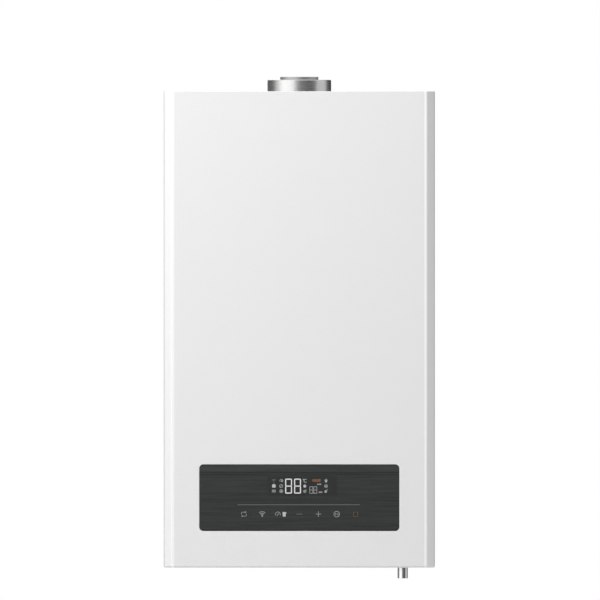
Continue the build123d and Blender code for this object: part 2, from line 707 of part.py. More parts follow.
with BuildPart() as exchanger_fins:
    fin_gap = FIN_SPAN / (FINS - 1)
    for i in range(FINS):
        with BuildSketch(across(-FIN_SPAN / 2 + i * fin_gap - FIN_T / 2)):
            with Locations((-fire_mid, exch_mid)):
                Rectangle(fire_d - 2 * FIN_EDGE, EXCH_Z1 - FIRE_Z1 - 2 * FIN_EDGE)
            with Locations(*[(-depth, exch_mid) for depth in tube_depths]):
                flat_tube(TUBE_H, TUBE_W, BRAZE, Mode.SUBTRACT)
    extrude(amount=FIN_T)

with BuildPart() as exchanger_casing:
    add(exchanger_walls)
    extrude(tube_outlines(across(-FIRE_W / 2 - TUBE_OUT), BRAZE), FIRE_W + 2 * TUBE_OUT, mode=Mode.SUBTRACT)


def header(side, depths, open_end):
    """Hollow cap over one or two tube ends; an open one takes a pipe."""
    mid = sum(depths) / len(depths)
    span = max(depths) - min(depths) + TUBE_W
    with BuildPart() as cap:
        with BuildSketch(across(side * FIRE_W / 2)):
            with Locations((-mid, exch_mid)):
                cap_face = Rectangle(span + 2 * HEADER_LAP, TUBE_H + 2 * HEADER_RISE)
                chamfer(cap_face.vertices(), HEADER_RISE)
        extrude(amount=side * HEADER_T)
        with BuildSketch(across(side * FIRE_W / 2)):
            with Locations((-mid, exch_mid)):
                Rectangle(span + HEADER_LAP, TUBE_H + HEADER_LAP)
        extrude(amount=side * (HEADER_T - HEADER_WALL), mode=Mode.SUBTRACT)
        if open_end:
            with BuildSketch(across(side * (FIRE_W / 2 + HEADER_T - HEADER_WALL))):
                with Locations((-mid, exch_mid)):
                    Circle(PIPE_R - PIPE_WALL)
            extrude(amount=side * HEADER_WALL, mode=Mode.SUBTRACT)
    return cap.part


right_caps = [header(1, tube_depths[0:1], True)]
right_caps += [header(1, tube_depths[i : i + 2], False) for i in range(1, TUBES, 2)]
left_caps = [header(-1, tube_depths[i : i + 2], False) for i in range(0, TUBES - 1, 2)]
left_caps += [header(-1, tube_depths[-1:], True)]

with BuildPart() as exchanger_headers:
    add(right_caps + left_caps)

header_end = FIRE_W / 2 + HEADER_T

# ================================================================ flue hood
riser_front = FIRE_BACK + RISER_IN + RISER_D
riser_mid = RISER_D / 2 - riser_front


def hood_solid(inset):
    """Flat collector, sloping shoulder and upright riser; inset shrinks it to its inner space."""
    bottom = EXCH_Z1 - inset
    shoulder = EXCH_Z1 + HOOD_FLAT - inset
    with BuildPart() as shape:
        with BuildSketch(Plane.XY.offset(bottom)):
            with Locations((0, -fire_mid)):
                Rectangle(FIRE_W - 2 * inset, fire_d - 2 * inset)
        extrude(amount=shoulder - bottom)
        with BuildSketch(Plane.XY.offset(shoulder - HOOD_SHEET)):
            with Locations((0, riser_mid)):
                Rectangle(FIRE_W - 2 * HOOD_STEP - 2 * inset, RISER_D - 2 * inset)
        with BuildSketch(Plane.XY.offset(HOOD_SLOPE_Z - inset)):
            with Locations((FAN_X, riser_mid)):
                Rectangle(RISER_W - 2 * inset, RISER_D - 2 * inset)
        loft()
        with BuildSketch(Plane.XY.offset(HOOD_SLOPE_Z - inset)):
            with Locations((FAN_X, riser_mid)):
                Rectangle(RISER_W - 2 * inset, RISER_D - 2 * inset)
        extrude(amount=HOOD_TOP - HOOD_SLOPE_Z)
    return shape.part


hood_outside = hood_solid(0)
hood_inside = hood_solid(HOOD_SHEET)

with BuildPart() as flue_hood:
    add(hood_outside)
    add(hood_inside, mode=Mode.SUBTRACT)
    with BuildSketch(at_depth(riser_front - 2 * HOOD_SHEET)):
        with Locations((FAN_X, FAN_Z)):
            Circle(FAN_EYE_R)
    extrude(amount=3 * HOOD_SHEET, mode=Mode.SUBTRACT)

# ================================================================ fan: scroll, rotor and motor
scroll_r1 = OUTLET_W / 2 - FAN_X  # the scroll ends tangent to the outlet's outer wall
inner_x = -OUTLET_W / 2
tongue_z = FAN_Z + (SCROLL_R0**2 - (inner_x - FAN_X) ** 2) ** 0.5
fan_back = riser_front
fan_front = fan_back + FAN_D


def scroll_point(share, inset):
    """Point on the scroll; share runs from 0 at the tongue to 1 at the outlet's outer wall."""
    angle = radians(TONGUE_ANGLE + share * (360 - TONGUE_ANGLE))
    reach = SCROLL_R0 + share * (scroll_r1 - SCROLL_R0) - inset
    return (FAN_X + reach * cos(angle), FAN_Z + reach * sin(angle))


def scroll_outline(plane, inset, top):
    """Scroll outline with its straight outlet, moved inwards by the inset."""
    with BuildSketch(plane) as outline:
        with BuildLine():
            for i in range(SCROLL_ARCS):
                ThreePointArc(
                    scroll_point(i / SCROLL_ARCS, inset),
                    scroll_point((i + 0.5) / SCROLL_ARCS, inset),
                    scroll_point((i + 1) / SCROLL_ARCS, inset),
                )
            tongue = scroll_point(0, inset)
            Polyline(
                scroll_point(1, inset),
                (OUTLET_W / 2 - inset, top),
                (inner_x + inset, top),
                (inner_x + inset, tongue_z),
                tongue,
            )
        make_face()
    return outline.sketch


with BuildPart() as fan_casing:
    extrude(scroll_outline(at_depth(fan_back), 0, HOOD_TOP), FAN_D)
    air_path = scroll_outline(at_depth(fan_back + FAN_WALL), FAN_WALL, HOOD_TOP + 1)
    extrude(air_path, FAN_D - 2 * FAN_WALL, mode=Mode.SUBTRACT)
    with BuildSketch(at_depth(fan_back)):
        with Locations((FAN_X, FAN_Z)):
            Circle(FAN_EYE_R)
    extrude(amount=FAN_WALL, mode=Mode.SUBTRACT)
    with BuildSketch(at_depth(fan_front - FAN_WALL)):
        with Locations((FAN_X, FAN_Z)):
            Circle(ROTOR_SHAFT_R + SHAFT_GAP)
    extrude(amount=FAN_WALL, mode=Mode.SUBTRACT)

rotor_back = fan_back + (FAN_D - ROTOR_W) / 2
rotor_front = rotor_back + ROTOR_W
bow_x = (ROTOR_R + BLADE_ROOT) / 2 + BLADE_BOW
bow_y = BLADE_BOW - ROTOR_EDGE / 2 - BLADE_SWEEP

with BuildSketch(Plane.XY) as rotor_blade:
    with BuildLine():
        outer_tip = (ROTOR_R - ROTOR_EDGE, 0)
        inner_tip = (ROTOR_R - 2 * ROTOR_EDGE, ROTOR_BLADE_T / 2)
        outer_root = (BLADE_ROOT, -BLADE_SWEEP)
        inner_root = (BLADE_ROOT, ROTOR_BLADE_T - BLADE_SWEEP)
        ThreePointArc(outer_tip, (bow_x, bow_y), outer_root)
        Line(outer_root, inner_root)
        ThreePointArc(inner_root, (bow_x - ROTOR_BLADE_T / 2, bow_y + ROTOR_BLADE_T), inner_tip)
        Line(inner_tip, outer_tip)
    make_face()

with BuildPart() as fan_impeller:
    with BuildSketch(at_depth(rotor_front - ROTOR_DISC)):
        with Locations((FAN_X, FAN_Z)):
            Circle(ROTOR_R)
    extrude(amount=ROTOR_DISC)
    with BuildSketch(at_depth(rotor_back + ROTOR_DISC)):
        with Locations((FAN_X, FAN_Z)):
            with PolarLocations(0, ROTOR_BLADES):
                add(rotor_blade.sketch)
    extrude(amount=ROTOR_W - 2 * ROTOR_DISC)
    with BuildSketch(at_depth(rotor_back)):
        with Locations((FAN_X, FAN_Z)):
            Circle(ROTOR_R)
            Circle(BLADE_ROOT, mode=Mode.SUBTRACT)
    extrude(amount=ROTOR_DISC)
    with BuildSketch(at_depth(rotor_back + ROTOR_W / 2)):
        with Locations((FAN_X, FAN_Z)):
            Circle(3 * ROTOR_SHAFT_R)
    extrude(amount=ROTOR_W / 2)
    with BuildSketch(at_depth(rotor_front)):
        with Locations((FAN_X, FAN_Z)):
            Circle(ROTOR_SHAFT_R)
    extrude(amount=fan_front - rotor_front + FAN_MOTOR_L / 2)

with BuildPart() as fan_motor:
    with BuildSketch(at_depth(fan_front)):
        with Locations((FAN_X, FAN_Z)):
            Circle(FAN_MOTOR_R + MOTOR_RIM)
    extrude(amount=MOTOR_PLATE)
    with BuildSketch(at_depth(fan_front + MOTOR_PLATE)):
        with Locations((FAN_X, FAN_Z)):
            Circle(FAN_MOTOR_R)
    extrude(amount=FAN_MOTOR_L - MOTOR_PLATE - MOTOR_CAP)
    with BuildSketch(at_depth(fan_front + FAN_MOTOR_L - MOTOR_CAP)):
        with Locations((FAN_X, FAN_Z)):
            Circle(FAN_MOTOR_R / 2)
    extrude(amount=MOTOR_CAP)
    with BuildSketch(at_depth(fan_front)):
        with Locations((FAN_X, FAN_Z)):
            Circle(ROTOR_SHAFT_R + RUN_FIT)
    extrude(amount=FAN_MOTOR_L / 2 + SHAFT_GAP, mode=Mode.SUBTRACT)

# ================================================================ concentric flue collar


def transition(inset):
    """Rectangular fan outlet below turning into the round flue above."""
    with BuildPart() as cone:
        with BuildSketch(Plane.XY.offset(HOOD_TOP)):
            with Locations((0, -flue_depth)):
                RectangleRounded(OUTLET_W - 2 * inset, FAN_D - 2 * inset, CONE_R)
        with BuildSketch(Plane.XY.offset(CONE_TOP)):
            with Locations((0, -flue_depth)):
                Circle(FLUE_R + SWAGE - inset)
        loft()
    return cone.part


cone_outside = transition(0)
cone_inside = transition(FLUE_SHEET + SWAGE)

with BuildPart() as flue_duct:
    add(cone_outside)
    with BuildSketch(Plane.XY.offset(CONE_TOP)):
        with Locations((0, -flue_depth)):
            Circle(FLUE_R + SWAGE)
    extrude(amount=CASE_H - CONE_TOP)
    with BuildSketch(Plane.XY.offset(CASE_H)):
        with Locations((0, -flue_depth)):
            Circle(FLUE_R)
    extrude(amount=FLUE_TOP - CASE_H)
    with BuildSketch(Plane.XY.offset(CONE_TOP)):
        with Locations((0, -flue_depth)):
            Circle(FLUE_R - FLUE_SHEET)
    extrude(amount=FLUE_TOP - CONE_TOP, mode=Mode.SUBTRACT)
    add(cone_inside, mode=Mode.SUBTRACT)

with BuildPart() as flue_collar:
    with BuildSketch(Plane.XY.offset(ROOM_Z1 + SEAL_T)):
        with Locations((0, -flue_depth)):
            Circle(COLLAR_FLANGE_R)
            Circle(AIR_R - FLUE_SHEET, mode=Mode.SUBTRACT)
    extrude(amount=PLATE)
    with BuildSketch(Plane.XY.offset(ROOM_Z1 + SEAL_T)):
        with Locations((0, -flue_depth)):
            Circle(AIR_R + SWAGE)
            Circle(AIR_R - FLUE_SHEET, mode=Mode.SUBTRACT)
    extrude(amount=CASE_H - ROOM_Z1 - SEAL_T)
    with BuildSketch(Plane.XY.offset(CASE_H)):
        with Locations((0, -flue_depth)):
            Circle(AIR_R)
            Circle(AIR_R - FLUE_SHEET, mode=Mode.SUBTRACT)
    extrude(amount=AIR_TOP - CASE_H)

with BuildPart() as collar_seal:
    with BuildSketch(Plane.XY.offset(ROOM_Z1)):
        with Locations((0, -flue_depth)):
            Circle(COLLAR_FLANGE_R)
            Circle(AIR_R - FLUE_SHEET, mode=Mode.SUBTRACT)
    extrude(amount=SEAL_T)

# ================================================================ air pressure switch in the chamber
SWITCH_X = ROOM_W / 2 - 60.0
SWITCH_Z = ROOM_Z1 - 60.0
SWITCH_R = 32.0
SWITCH_POST = 24.0
SWITCH_D = 40.0
SWITCH_BODY = 20.0
SWITCH_CAP = 14.0
NOZZLE_R = 2.5
NOZZLE_L = 5.0
NOZZLE_PITCH = 24.0
HOSE_R = 4.0
HOSE_BEND = 8.0
HOSE_STEP = 14.0
HOSE_DROP = 53.0  # switch's centre down to the first hose's lowest run
HOSE_LAND = 30.0
nozzle_depth = ROOM_BACK + SWITCH_D + SWITCH_BODY - 7.0
nozzle_z = SWITCH_Z - SWITCH_R - NOZZLE_L

with BuildPart() as air_pressure_switch:
    with BuildSketch(at_depth(ROOM_BACK)):
        with Locations((SWITCH_X, SWITCH_Z)):
            Rectangle(SWITCH_POST, SWITCH_POST)
    extrude(amount=SWITCH_D)
    with BuildSketch(at_depth(ROOM_BACK + SWITCH_D)):
        with Locations((SWITCH_X, SWITCH_Z)):
            Circle(SWITCH_R)
    extrude(amount=SWITCH_BODY)
    with BuildSketch(at_depth(ROOM_BACK + SWITCH_D + SWITCH_BODY)):
        with Locations((SWITCH_X, SWITCH_Z)):
            Circle(SWITCH_R / 2)
    extrude(amount=SWITCH_CAP)
    with BuildSketch(Plane.XY.offset(nozzle_z)):
        with Locations((SWITCH_X, -nozzle_depth)):
            with GridLocations(NOZZLE_PITCH, 1, 2, 1):
                Circle(NOZZLE_R)
    extrude(amount=2.4 * NOZZLE_L)

riser_side = FAN_X + RISER_W / 2

switch_hoses = []
for i, landing in enumerate((FAN_Z + HOSE_LAND, FAN_Z)):
    start = SWITCH_X + (i - 0.5) * NOZZLE_PITCH
    low = SWITCH_Z - HOSE_DROP - HOSE_STEP * i
    back = (SWITCH_X + riser_side - 2 * NOZZLE_PITCH) / 2 + HOSE_STEP * i
    hose_path = [
        (start, -nozzle_depth, nozzle_z),
        (start, -nozzle_depth, low),
        (back, -nozzle_depth, low),
        (back, -nozzle_depth, landing),
        (riser_side + TOUCH_GAP, -nozzle_depth, landing),
    ]
    switch_hoses.append(bent_hose(hose_path, HOSE_BEND, HOSE_R))

with BuildPart() as pressure_switch_tubes:
    add(switch_hoses)

# ================================================================ gas valve and gas pipe
VALVE_D = 78.0
VALVE_BEHIND = 15.0  # body behind its inlet
VALVE_NECK = 8.0
VALVE_H = 66.0
VALVE_BEVEL = 6.0
UNION_R = 15.0
COIL_R = 14.0
COIL_L = 34.0
COIL_PITCH = 34.0
COIL_UP = 54.0
SCREW_CAP_R = 9.0
SCREW_CAP_L = 10.0
SCREW_CAP_UP = 22.0
GAS_OUT_Z = 126.0
GAS_BEND_Z = 205.0
GAS_BEND_R = 28.0
valve_back = PORT_D - VALVE_BEHIND
valve_front = valve_back + VALVE_D
valve_top = BLOCK_Z0 + VALVE_NECK + VALVE_H
gas_mid = (valve_back + valve_front) / 2

with BuildPart() as gas_valve:
    with BuildSketch(Plane.XY.offset(BLOCK_Z0 + VALVE_NECK)):
        with Locations((0, -gas_mid)):
            Rectangle(VALVE_W, VALVE_D)
    extrude(amount=VALVE_H)
    chamfer(gas_valve.edges().filter_by(Axis.Z), VALVE_BEVEL)
    with BuildSketch(Plane.XY.offset(BLOCK_Z0)):
        with Locations((0, -PORT_D)):
            Circle(BIG_THREAD_R)
    extrude(amount=VALVE_NECK)
    with BuildSketch(Plane.XY.offset(valve_top)):
        with Locations((0, -gas_mid)):
            RegularPolygon(UNION_R, 6)
    extrude(amount=GAS_OUT_Z - valve_top)
    with BuildSketch(at_depth(valve_front)):
        with Locations((0, BLOCK_Z0 + COIL_UP)):
            with GridLocations(COIL_PITCH, 1, 2, 1):
                Circle(COIL_R)
    extrude(amount=COIL_L)
    with BuildSketch(at_depth(valve_front)):
        with Locations((0, BLOCK_Z0 + SCREW_CAP_UP)):
            Circle(SCREW_CAP_R)
    extrude(amount=SCREW_CAP_L)

gas_route = [
    (0, -gas_mid, GAS_OUT_Z),
    (0, -gas_mid, GAS_BEND_Z),
    (0, -manifold_depth, GAS_BEND_Z),
    (0, -manifold_depth, venturi_z - MANIFOLD / 2),
]
gas_tube = bent_pipe(gas_route, GAS_BEND_R, PIPE_R)

with BuildPart() as gas_pipe:
    add(gas_tube)

SPARK_W = 30.0
SPARK_H = 60.0
SPARK_D = 44.0
SPARK_Z = 170.0
SPARK_PLUG_R = 3.5
SPARK_PLUG_L = 10.0
SPARK_PLUG_PITCH = 12.0
spark_x = PLATE + TOUCH_GAP + (SPARK_W - FRAME_W) / 2

with BuildPart() as ignition_transformer:
    with BuildSketch(at_depth(PLATE)):
        with Locations((spark_x, SPARK_Z)):
            Rectangle(SPARK_W, SPARK_H)
    extrude(amount=SPARK_D)
    with BuildSketch(Plane.XY.offset(SPARK_Z + SPARK_H / 2)):
        with Locations((spark_x, -PLATE - SPARK_D / 2)):
            with GridLocations(SPARK_PLUG_PITCH, 1, 2, 1):
                Circle(SPARK_PLUG_R)
    extrude(amount=SPARK_PLUG_L)

# ================================================================ connections under the tray
NIPPLE_WALL = 4.0

with BuildPart() as connection_nipples:
    for x, thread_r in ports:
        with BuildSketch(at_depth(PORT_D)):
            with BuildLine():
                bore_r = thread_r - NIPPLE_WALL
                Polyline(
                    (x + bore_r, PORT_Z),
                    (x + thread_r, PORT_Z),
                    (x + thread_r, TRAY_Z),
                    (x + thread_r - NECK_STEP, TRAY_Z),
                    (x + thread_r - NECK_STEP, BLOCK_Z0),
                    (x + bore_r, BLOCK_Z0),
                    close=True,
                )
            make_face()
        revolve(axis=Axis((x, -PORT_D, 0), (0, 0, 1)))

with BuildPart() as cable_gland:
    with BuildSketch(Plane.XY.offset(TRAY_Z - GLAND_NUT)):
        with Locations((GLAND_X, -GLAND_D)):
            RegularPolygon(GLAND_R + 1, 6)
    extrude(amount=GLAND_NUT)
    with BuildSketch(Plane.XY.offset(TRAY_Z - GLAND_NUT - GLAND_L)):
        with Locations((GLAND_X, -GLAND_D)):
            Circle(GLAND_R - 1)
    extrude(amount=GLAND_L)
    with BuildSketch(Plane.XY.offset(TRAY_Z)):
        with Locations((GLAND_X, -GLAND_D)):
            Circle(GLAND_R - NECK_STEP - TOUCH_GAP)
    extrude(amount=PLATE + GLAND_NUT)
    with BuildSketch(Plane.XY.offset(TRAY_Z - GLAND_NUT - GLAND_L)):
        with Locations((GLAND_X, -GLAND_D)):
            Circle(CABLE_R)
    extrude(amount=PLATE + 2 * GLAND_NUT + GLAND_L, mode=Mode.SUBTRACT)

# ================================================================ flow block with diverter valve
DIVERT_R = 8.0
DIVERT_DEEP = 45.0
TRAVEL = 8.0
STEM_R = 3.0
STEM_SEAT = 5.0
SEAT_GAP = 2.0
ACTUATOR_R = 17.0
ACTUATOR_NECK = 12.0
ACTUATOR_W = 46.0
ACTUATOR_H = 52.0
ACTUATOR_L = 30.0
ACTUATOR_UP = 4.0
ACTUATOR_BEVEL = 3.0
BLOCK_BEVEL = 8.0
FLOW_UNION = 10.0
SENSOR_IN = 18.0
SENSOR_UP = 28.0
SENSOR_NUT_R = 10.0
SENSOR_NUT_T = 7.0
SENSOR_R = 8.0
SENSOR_L = 16.0

with BuildPart() as flow_block:
    with BuildSketch(Plane.XY.offset(BLOCK_Z0)):
        with Locations((-(BLOCK_X0 + BLOCK_X1) / 2, -(BLOCK_BACK + BLOCK_FRONT) / 2)):
            Rectangle(BLOCK_X1 - BLOCK_X0, BLOCK_FRONT - BLOCK_BACK)
    extrude(amount=BLOCK_Z1 - BLOCK_Z0)
    chamfer(flow_block.edges().filter_by(Axis.Z), BLOCK_BEVEL)
    with BuildSketch(Plane.XY.offset(BLOCK_Z1)):
        with Locations((FLOW_PORT_X, -RELIEF_D)):
            RegularPolygon(UNION_R, 6)
    extrude(amount=FLOW_UNION)
    with BuildSketch(at_depth(BLOCK_FRONT - DIVERT_DEEP)):
        with Locations((DIVERT_X, DIVERT_Z)):
            Circle(DIVERT_R)
    extrude(amount=DIVERT_DEEP, mode=Mode.SUBTRACT)

with BuildPart() as diverter_actuator:
    with BuildSketch(at_depth(BLOCK_FRONT)):
        with Locations((DIVERT_X, DIVERT_Z)):
            Circle(ACTUATOR_R)
    extrude(amount=ACTUATOR_NECK)
    with BuildSketch(at_depth(BLOCK_FRONT + ACTUATOR_NECK)):
        with Locations((DIVERT_X, DIVERT_Z + ACTUATOR_UP)):
            Rectangle(ACTUATOR_W, ACTUATOR_H)
    extrude(amount=ACTUATOR_L)
    chamfer(diverter_actuator.faces().sort_by(Axis.Y)[0].edges(), ACTUATOR_BEVEL)
    with BuildSketch(at_depth(BLOCK_FRONT)):
        with Locations((DIVERT_X, DIVERT_Z)):
            Circle(STEM_R + RUN_FIT)
    extrude(amount=ACTUATOR_NECK + ACTUATOR_L - 2 * ACTUATOR_BEVEL, mode=Mode.SUBTRACT)

stem_back = BLOCK_FRONT - DIVERT_DEEP + TRAVEL + SEAT_GAP

with BuildPart() as diverter_spindle:
    with BuildSketch(at_depth(stem_back)):
        with Locations((DIVERT_X, DIVERT_Z)):
            Circle(STEM_R)
    extrude(amount=BLOCK_FRONT + ACTUATOR_L + SEAT_GAP - stem_back)
    with BuildSketch(at_depth(stem_back + SEAT_GAP)):
        with Locations((DIVERT_X, DIVERT_Z)):
            Circle(DIVERT_R - HOLE_GAP / 2)
    extrude(amount=STEM_SEAT)

with BuildPart() as pressure_sensor:
    with BuildSketch(at_depth(BLOCK_FRONT)):
        with Locations((-BLOCK_X0 - SENSOR_IN, BLOCK_Z0 + SENSOR_UP)):
            RegularPolygon(SENSOR_NUT_R, 6)
    extrude(amount=SENSOR_NUT_T)
    with BuildSketch(at_depth(BLOCK_FRONT + SENSOR_NUT_T)):
        with Locations((-BLOCK_X0 - SENSOR_IN, BLOCK_Z0 + SENSOR_UP)):
            Circle(SENSOR_R)
    extrude(amount=SENSOR_L)

# ================================================================ return block with cold-water turbine
TURBINE_R = 6.5
TURBINE_H = 14.0
CAVITY_R = 8.0
CAVITY_H = 24.0
TURBINE_HUB_R = 2.5
TURBINE_VANE = 1.2
TURBINE_DROP = 4.0  # vane tops below the cavity's roof
PIVOT_R = 1.0
PIVOT_L = 5.0
PIVOT_HOLE = 6.0
KNOB_R = 11.0
KNOB_T = 12.0
KNOB_UP = 1.0
STEM_L = 12.0
STEM_HOLE = 14.0

with BuildPart() as return_block:
    with BuildSketch(Plane.XY.offset(BLOCK_Z0)):
        with Locations(((BLOCK_X0 + BLOCK_X1) / 2, -(BLOCK_BACK + BLOCK_FRONT) / 2)):
            Rectangle(BLOCK_X1 - BLOCK_X0, BLOCK_FRONT - BLOCK_BACK)
    extrude(amount=BLOCK_Z1 - BLOCK_Z0)
    chamfer(return_block.edges().filter_by(Axis.Z), BLOCK_BEVEL)
    with BuildSketch(Plane.XY.offset(BLOCK_Z0)):
        with Locations((TURBINE_X, -PORT_D)):
            Circle(CAVITY_R)
    extrude(amount=CAVITY_H, mode=Mode.SUBTRACT)
    with BuildSketch(Plane.XY.offset(BLOCK_Z0 + CAVITY_H)):
        with Locations((TURBINE_X, -PORT_D)):
            Circle(PIVOT_R + RUN_FIT)
    extrude(amount=PIVOT_HOLE, mode=Mode.SUBTRACT)
    with BuildSketch(Plane.XY.offset(BLOCK_Z0)):
        with Locations((FILL_X, -FILL_D)):
            Circle(PIN_R + RUN_FIT)
    extrude(amount=STEM_HOLE, mode=Mode.SUBTRACT)

turbine_low = BLOCK_Z0 + CAVITY_H - TURBINE_DROP - TURBINE_H

with BuildPart() as flow_turbine:
    with BuildSketch(Plane.XY.offset(turbine_low)):
        with Locations((TURBINE_X, -PORT_D)):
            Circle(TURBINE_HUB_R)
            Rectangle(2 * TURBINE_R, TURBINE_VANE)
            Rectangle(TURBINE_VANE, 2 * TURBINE_R)
    extrude(amount=TURBINE_H)
    with BuildSketch(Plane.XY.offset(turbine_low)):
        with Locations((TURBINE_X, -PORT_D)):
            Circle(PIVOT_R)
    extrude(amount=TURBINE_H + TURBINE_DROP + PIVOT_L)

knob_low = PORT_Z + KNOB_UP

with BuildPart() as filling_valve_knob:
    with BuildSketch(Plane.XY.offset(knob_low)):
        with Locations((FILL_X, -FILL_D)):
            RegularPolygon(KNOB_R, 8)
    extrude(amount=KNOB_T)
    with BuildSketch(Plane.XY.offset(knob_low)):
        with Locations((FILL_X, -FILL_D)):
            Circle(PIN_R)
    extrude(amount=BLOCK_Z0 + STEM_L - knob_low)

plate_count = 2 * PLATES - 1
plate_pitch = (PLATE_FRONT - PLATE_BACK) / plate_count
plates_z = (BLOCK_Z0 + BLOCK_Z1) / 2 + PLATE_UP

with BuildPart() as plate_heat_exchanger:
    for i in range(plate_count):
        shrink = PLATE_STEP * (i % 2)
        with BuildSketch(at_depth(PLATE_BACK + i * plate_pitch)):
            with Locations((0, plates_z)):
                plate = Rectangle(PLATE_W - shrink, PLATE_H - shrink)
                chamfer(plate.vertices(), PLATE_BEVEL)
        extrude(amount=plate_pitch)
    with BuildSketch(at_depth(PLATE_FRONT)):
        with Locations((0, plates_z)):
            with GridLocations(BOSS_PITCH_X, BOSS_PITCH_Z, 2, 2):
                Circle(BOSS_R)
    extrude(amount=BLOCK_BACK - PLATE_FRONT)

# ================================================================ pump and air vent
ROTOR_GAP = 4.0
PUMP_SHAFT_R = 4.0
PUMP_WALL = 7.0
PUMP_BACK_WALL = 6.0
PUMP_FOOT_R = 15.0
WHEEL_T = 14.0
WHEEL_DISC = 2.0
WHEEL_HUB_R = 8.0
WHEEL_EYE_R = 12.0
WHEEL_BLADES = 6
WHEEL_BLADE_T = 2.4
WHEEL_BLADE_ANGLE = 28.0
PUMP_SHAFT_L = 16.0
MOTOR_SEAT = 6.0
MOTOR_BEARING = 14.0
PUMP_MOTOR_L = 54.0
PUMP_CAP_R = 10.0
PUMP_CAP_L = 5.0
VENT_IN = 22.0  # air vent to the left of the pump's centre
VENT_NECK_R = 8.0
VENT_R = 12.0
VENT_BODY_H = 20.0
VENT_CAP_R = 5.0
VENT_CAP_H = 8.0
wet_r = PUMP_R - PUMP_WALL
wheel_r = wet_r - ROTOR_GAP
pump_mid = (PUMP_BACK + PUMP_FRONT) / 2
vent_x = PUMP_X - VENT_IN
vent_z = PUMP_Z + PUMP_R

with BuildPart() as pump_body:
    with BuildSketch(at_depth(PUMP_BACK)):
        with Locations((PUMP_X, PUMP_Z)):
            Circle(PUMP_R)
    extrude(amount=PUMP_FRONT - PUMP_BACK)
    with BuildSketch(Plane.XY.offset(BLOCK_Z1)):
        with Locations((PUMP_X, -pump_mid)):
            Circle(PUMP_FOOT_R)
    extrude(amount=PUMP_Z - BLOCK_Z1)
    with BuildSketch(Plane.XY.offset(PUMP_Z)):
        with Locations((PUMP_OUT_X, -pump_mid)):
            Circle(PIPE_R + STUB_WALL)
    extrude(amount=PUMP_OUT_Z - PUMP_Z)
    with BuildSketch(Plane.XY.offset(PUMP_Z)):
        with Locations((vent_x, -pump_mid)):
            Circle(VENT_NECK_R)
    extrude(amount=PUMP_R)
    with BuildSketch(at_depth(PUMP_BACK + PUMP_BACK_WALL)):
        with Locations((PUMP_X, PUMP_Z)):
            Circle(wet_r)
    extrude(amount=PUMP_FRONT - PUMP_BACK - PUMP_BACK_WALL, mode=Mode.SUBTRACT)

wheel_back = PUMP_BACK + PUMP_BACK_WALL + ROTOR_GAP
wheel_front = wheel_back + WHEEL_T

with BuildPart() as pump_impeller:
    with BuildSketch(at_depth(wheel_front - WHEEL_DISC)):
        with Locations((PUMP_X, PUMP_Z)):
            Circle(wheel_r)
    extrude(amount=WHEEL_DISC)
    with BuildSketch(at_depth(wheel_back + WHEEL_DISC)):
        with Locations((PUMP_X, PUMP_Z)):
            with PolarLocations((wheel_r + WHEEL_HUB_R) / 2, WHEEL_BLADES):
                Rectangle(wheel_r - WHEEL_HUB_R, WHEEL_BLADE_T, rotation=WHEEL_BLADE_ANGLE)
            Circle(WHEEL_HUB_R)
    extrude(amount=WHEEL_T - 2 * WHEEL_DISC)
    with BuildSketch(at_depth(wheel_back)):
        with Locations((PUMP_X, PUMP_Z)):
            Circle(wheel_r)
            Circle(WHEEL_EYE_R, mode=Mode.SUBTRACT)
    extrude(amount=WHEEL_DISC)
    with BuildSketch(at_depth(wheel_front)):
        with Locations((PUMP_X, PUMP_Z)):
            Circle(PUMP_SHAFT_R)
    extrude(amount=PUMP_FRONT - wheel_front + PUMP_SHAFT_L)

bearing_front = PUMP_FRONT + MOTOR_SEAT + MOTOR_BEARING

with BuildPart() as pump_motor:
    with BuildSketch(at_depth(PUMP_FRONT)):
        with Locations((PUMP_X, PUMP_Z)):
            Rectangle(2 * PUMP_R, 2 * PUMP_R)
            Circle(PUMP_SHAFT_R + RUN_FIT, mode=Mode.SUBTRACT)
    extrude(amount=MOTOR_SEAT)
    with BuildSketch(at_depth(PUMP_FRONT + MOTOR_SEAT)):
        with Locations((PUMP_X, PUMP_Z)):
            Circle(PUMP_R - MOTOR_PLATE)
            Circle(PUMP_SHAFT_R + RUN_FIT, mode=Mode.SUBTRACT)
    extrude(amount=MOTOR_BEARING)
    with BuildSketch(at_depth(bearing_front)):
        with Locations((PUMP_X, PUMP_Z)):
            Circle(PUMP_R - MOTOR_PLATE)
    extrude(amount=PUMP_MOTOR_L)
    with BuildSketch(at_depth(bearing_front + PUMP_MOTOR_L)):
        with Locations((PUMP_X, PUMP_Z)):
            Circle(PUMP_CAP_R)
    extrude(amount=PUMP_CAP_L)

with BuildPart() as air_vent:
    with BuildSketch(Plane.XY.offset(vent_z)):
        with Locations((vent_x, -pump_mid)):
            Circle(VENT_R)
    extrude(amount=VENT_BODY_H)
    with BuildSketch(Plane.XY.offset(vent_z + VENT_BODY_H)):
        with Locations((vent_x, -pump_mid)):
            Circle(VENT_CAP_R)
    extrude(amount=VENT_CAP_H)

# ================================================================ safety valve and its discharge pipe
RELIEF_STEM_R = 5.0
RELIEF_STEM_L = 10.0
RELIEF_CAP = 8.0
RELIEF_LIFT = 0.5
relief_reach = RELIEF_X - BLOCK_X1
relief_top = RELIEF_Z + RELIEF_H
relief_knob_r = relief_reach - 2 * TOUCH_GAP

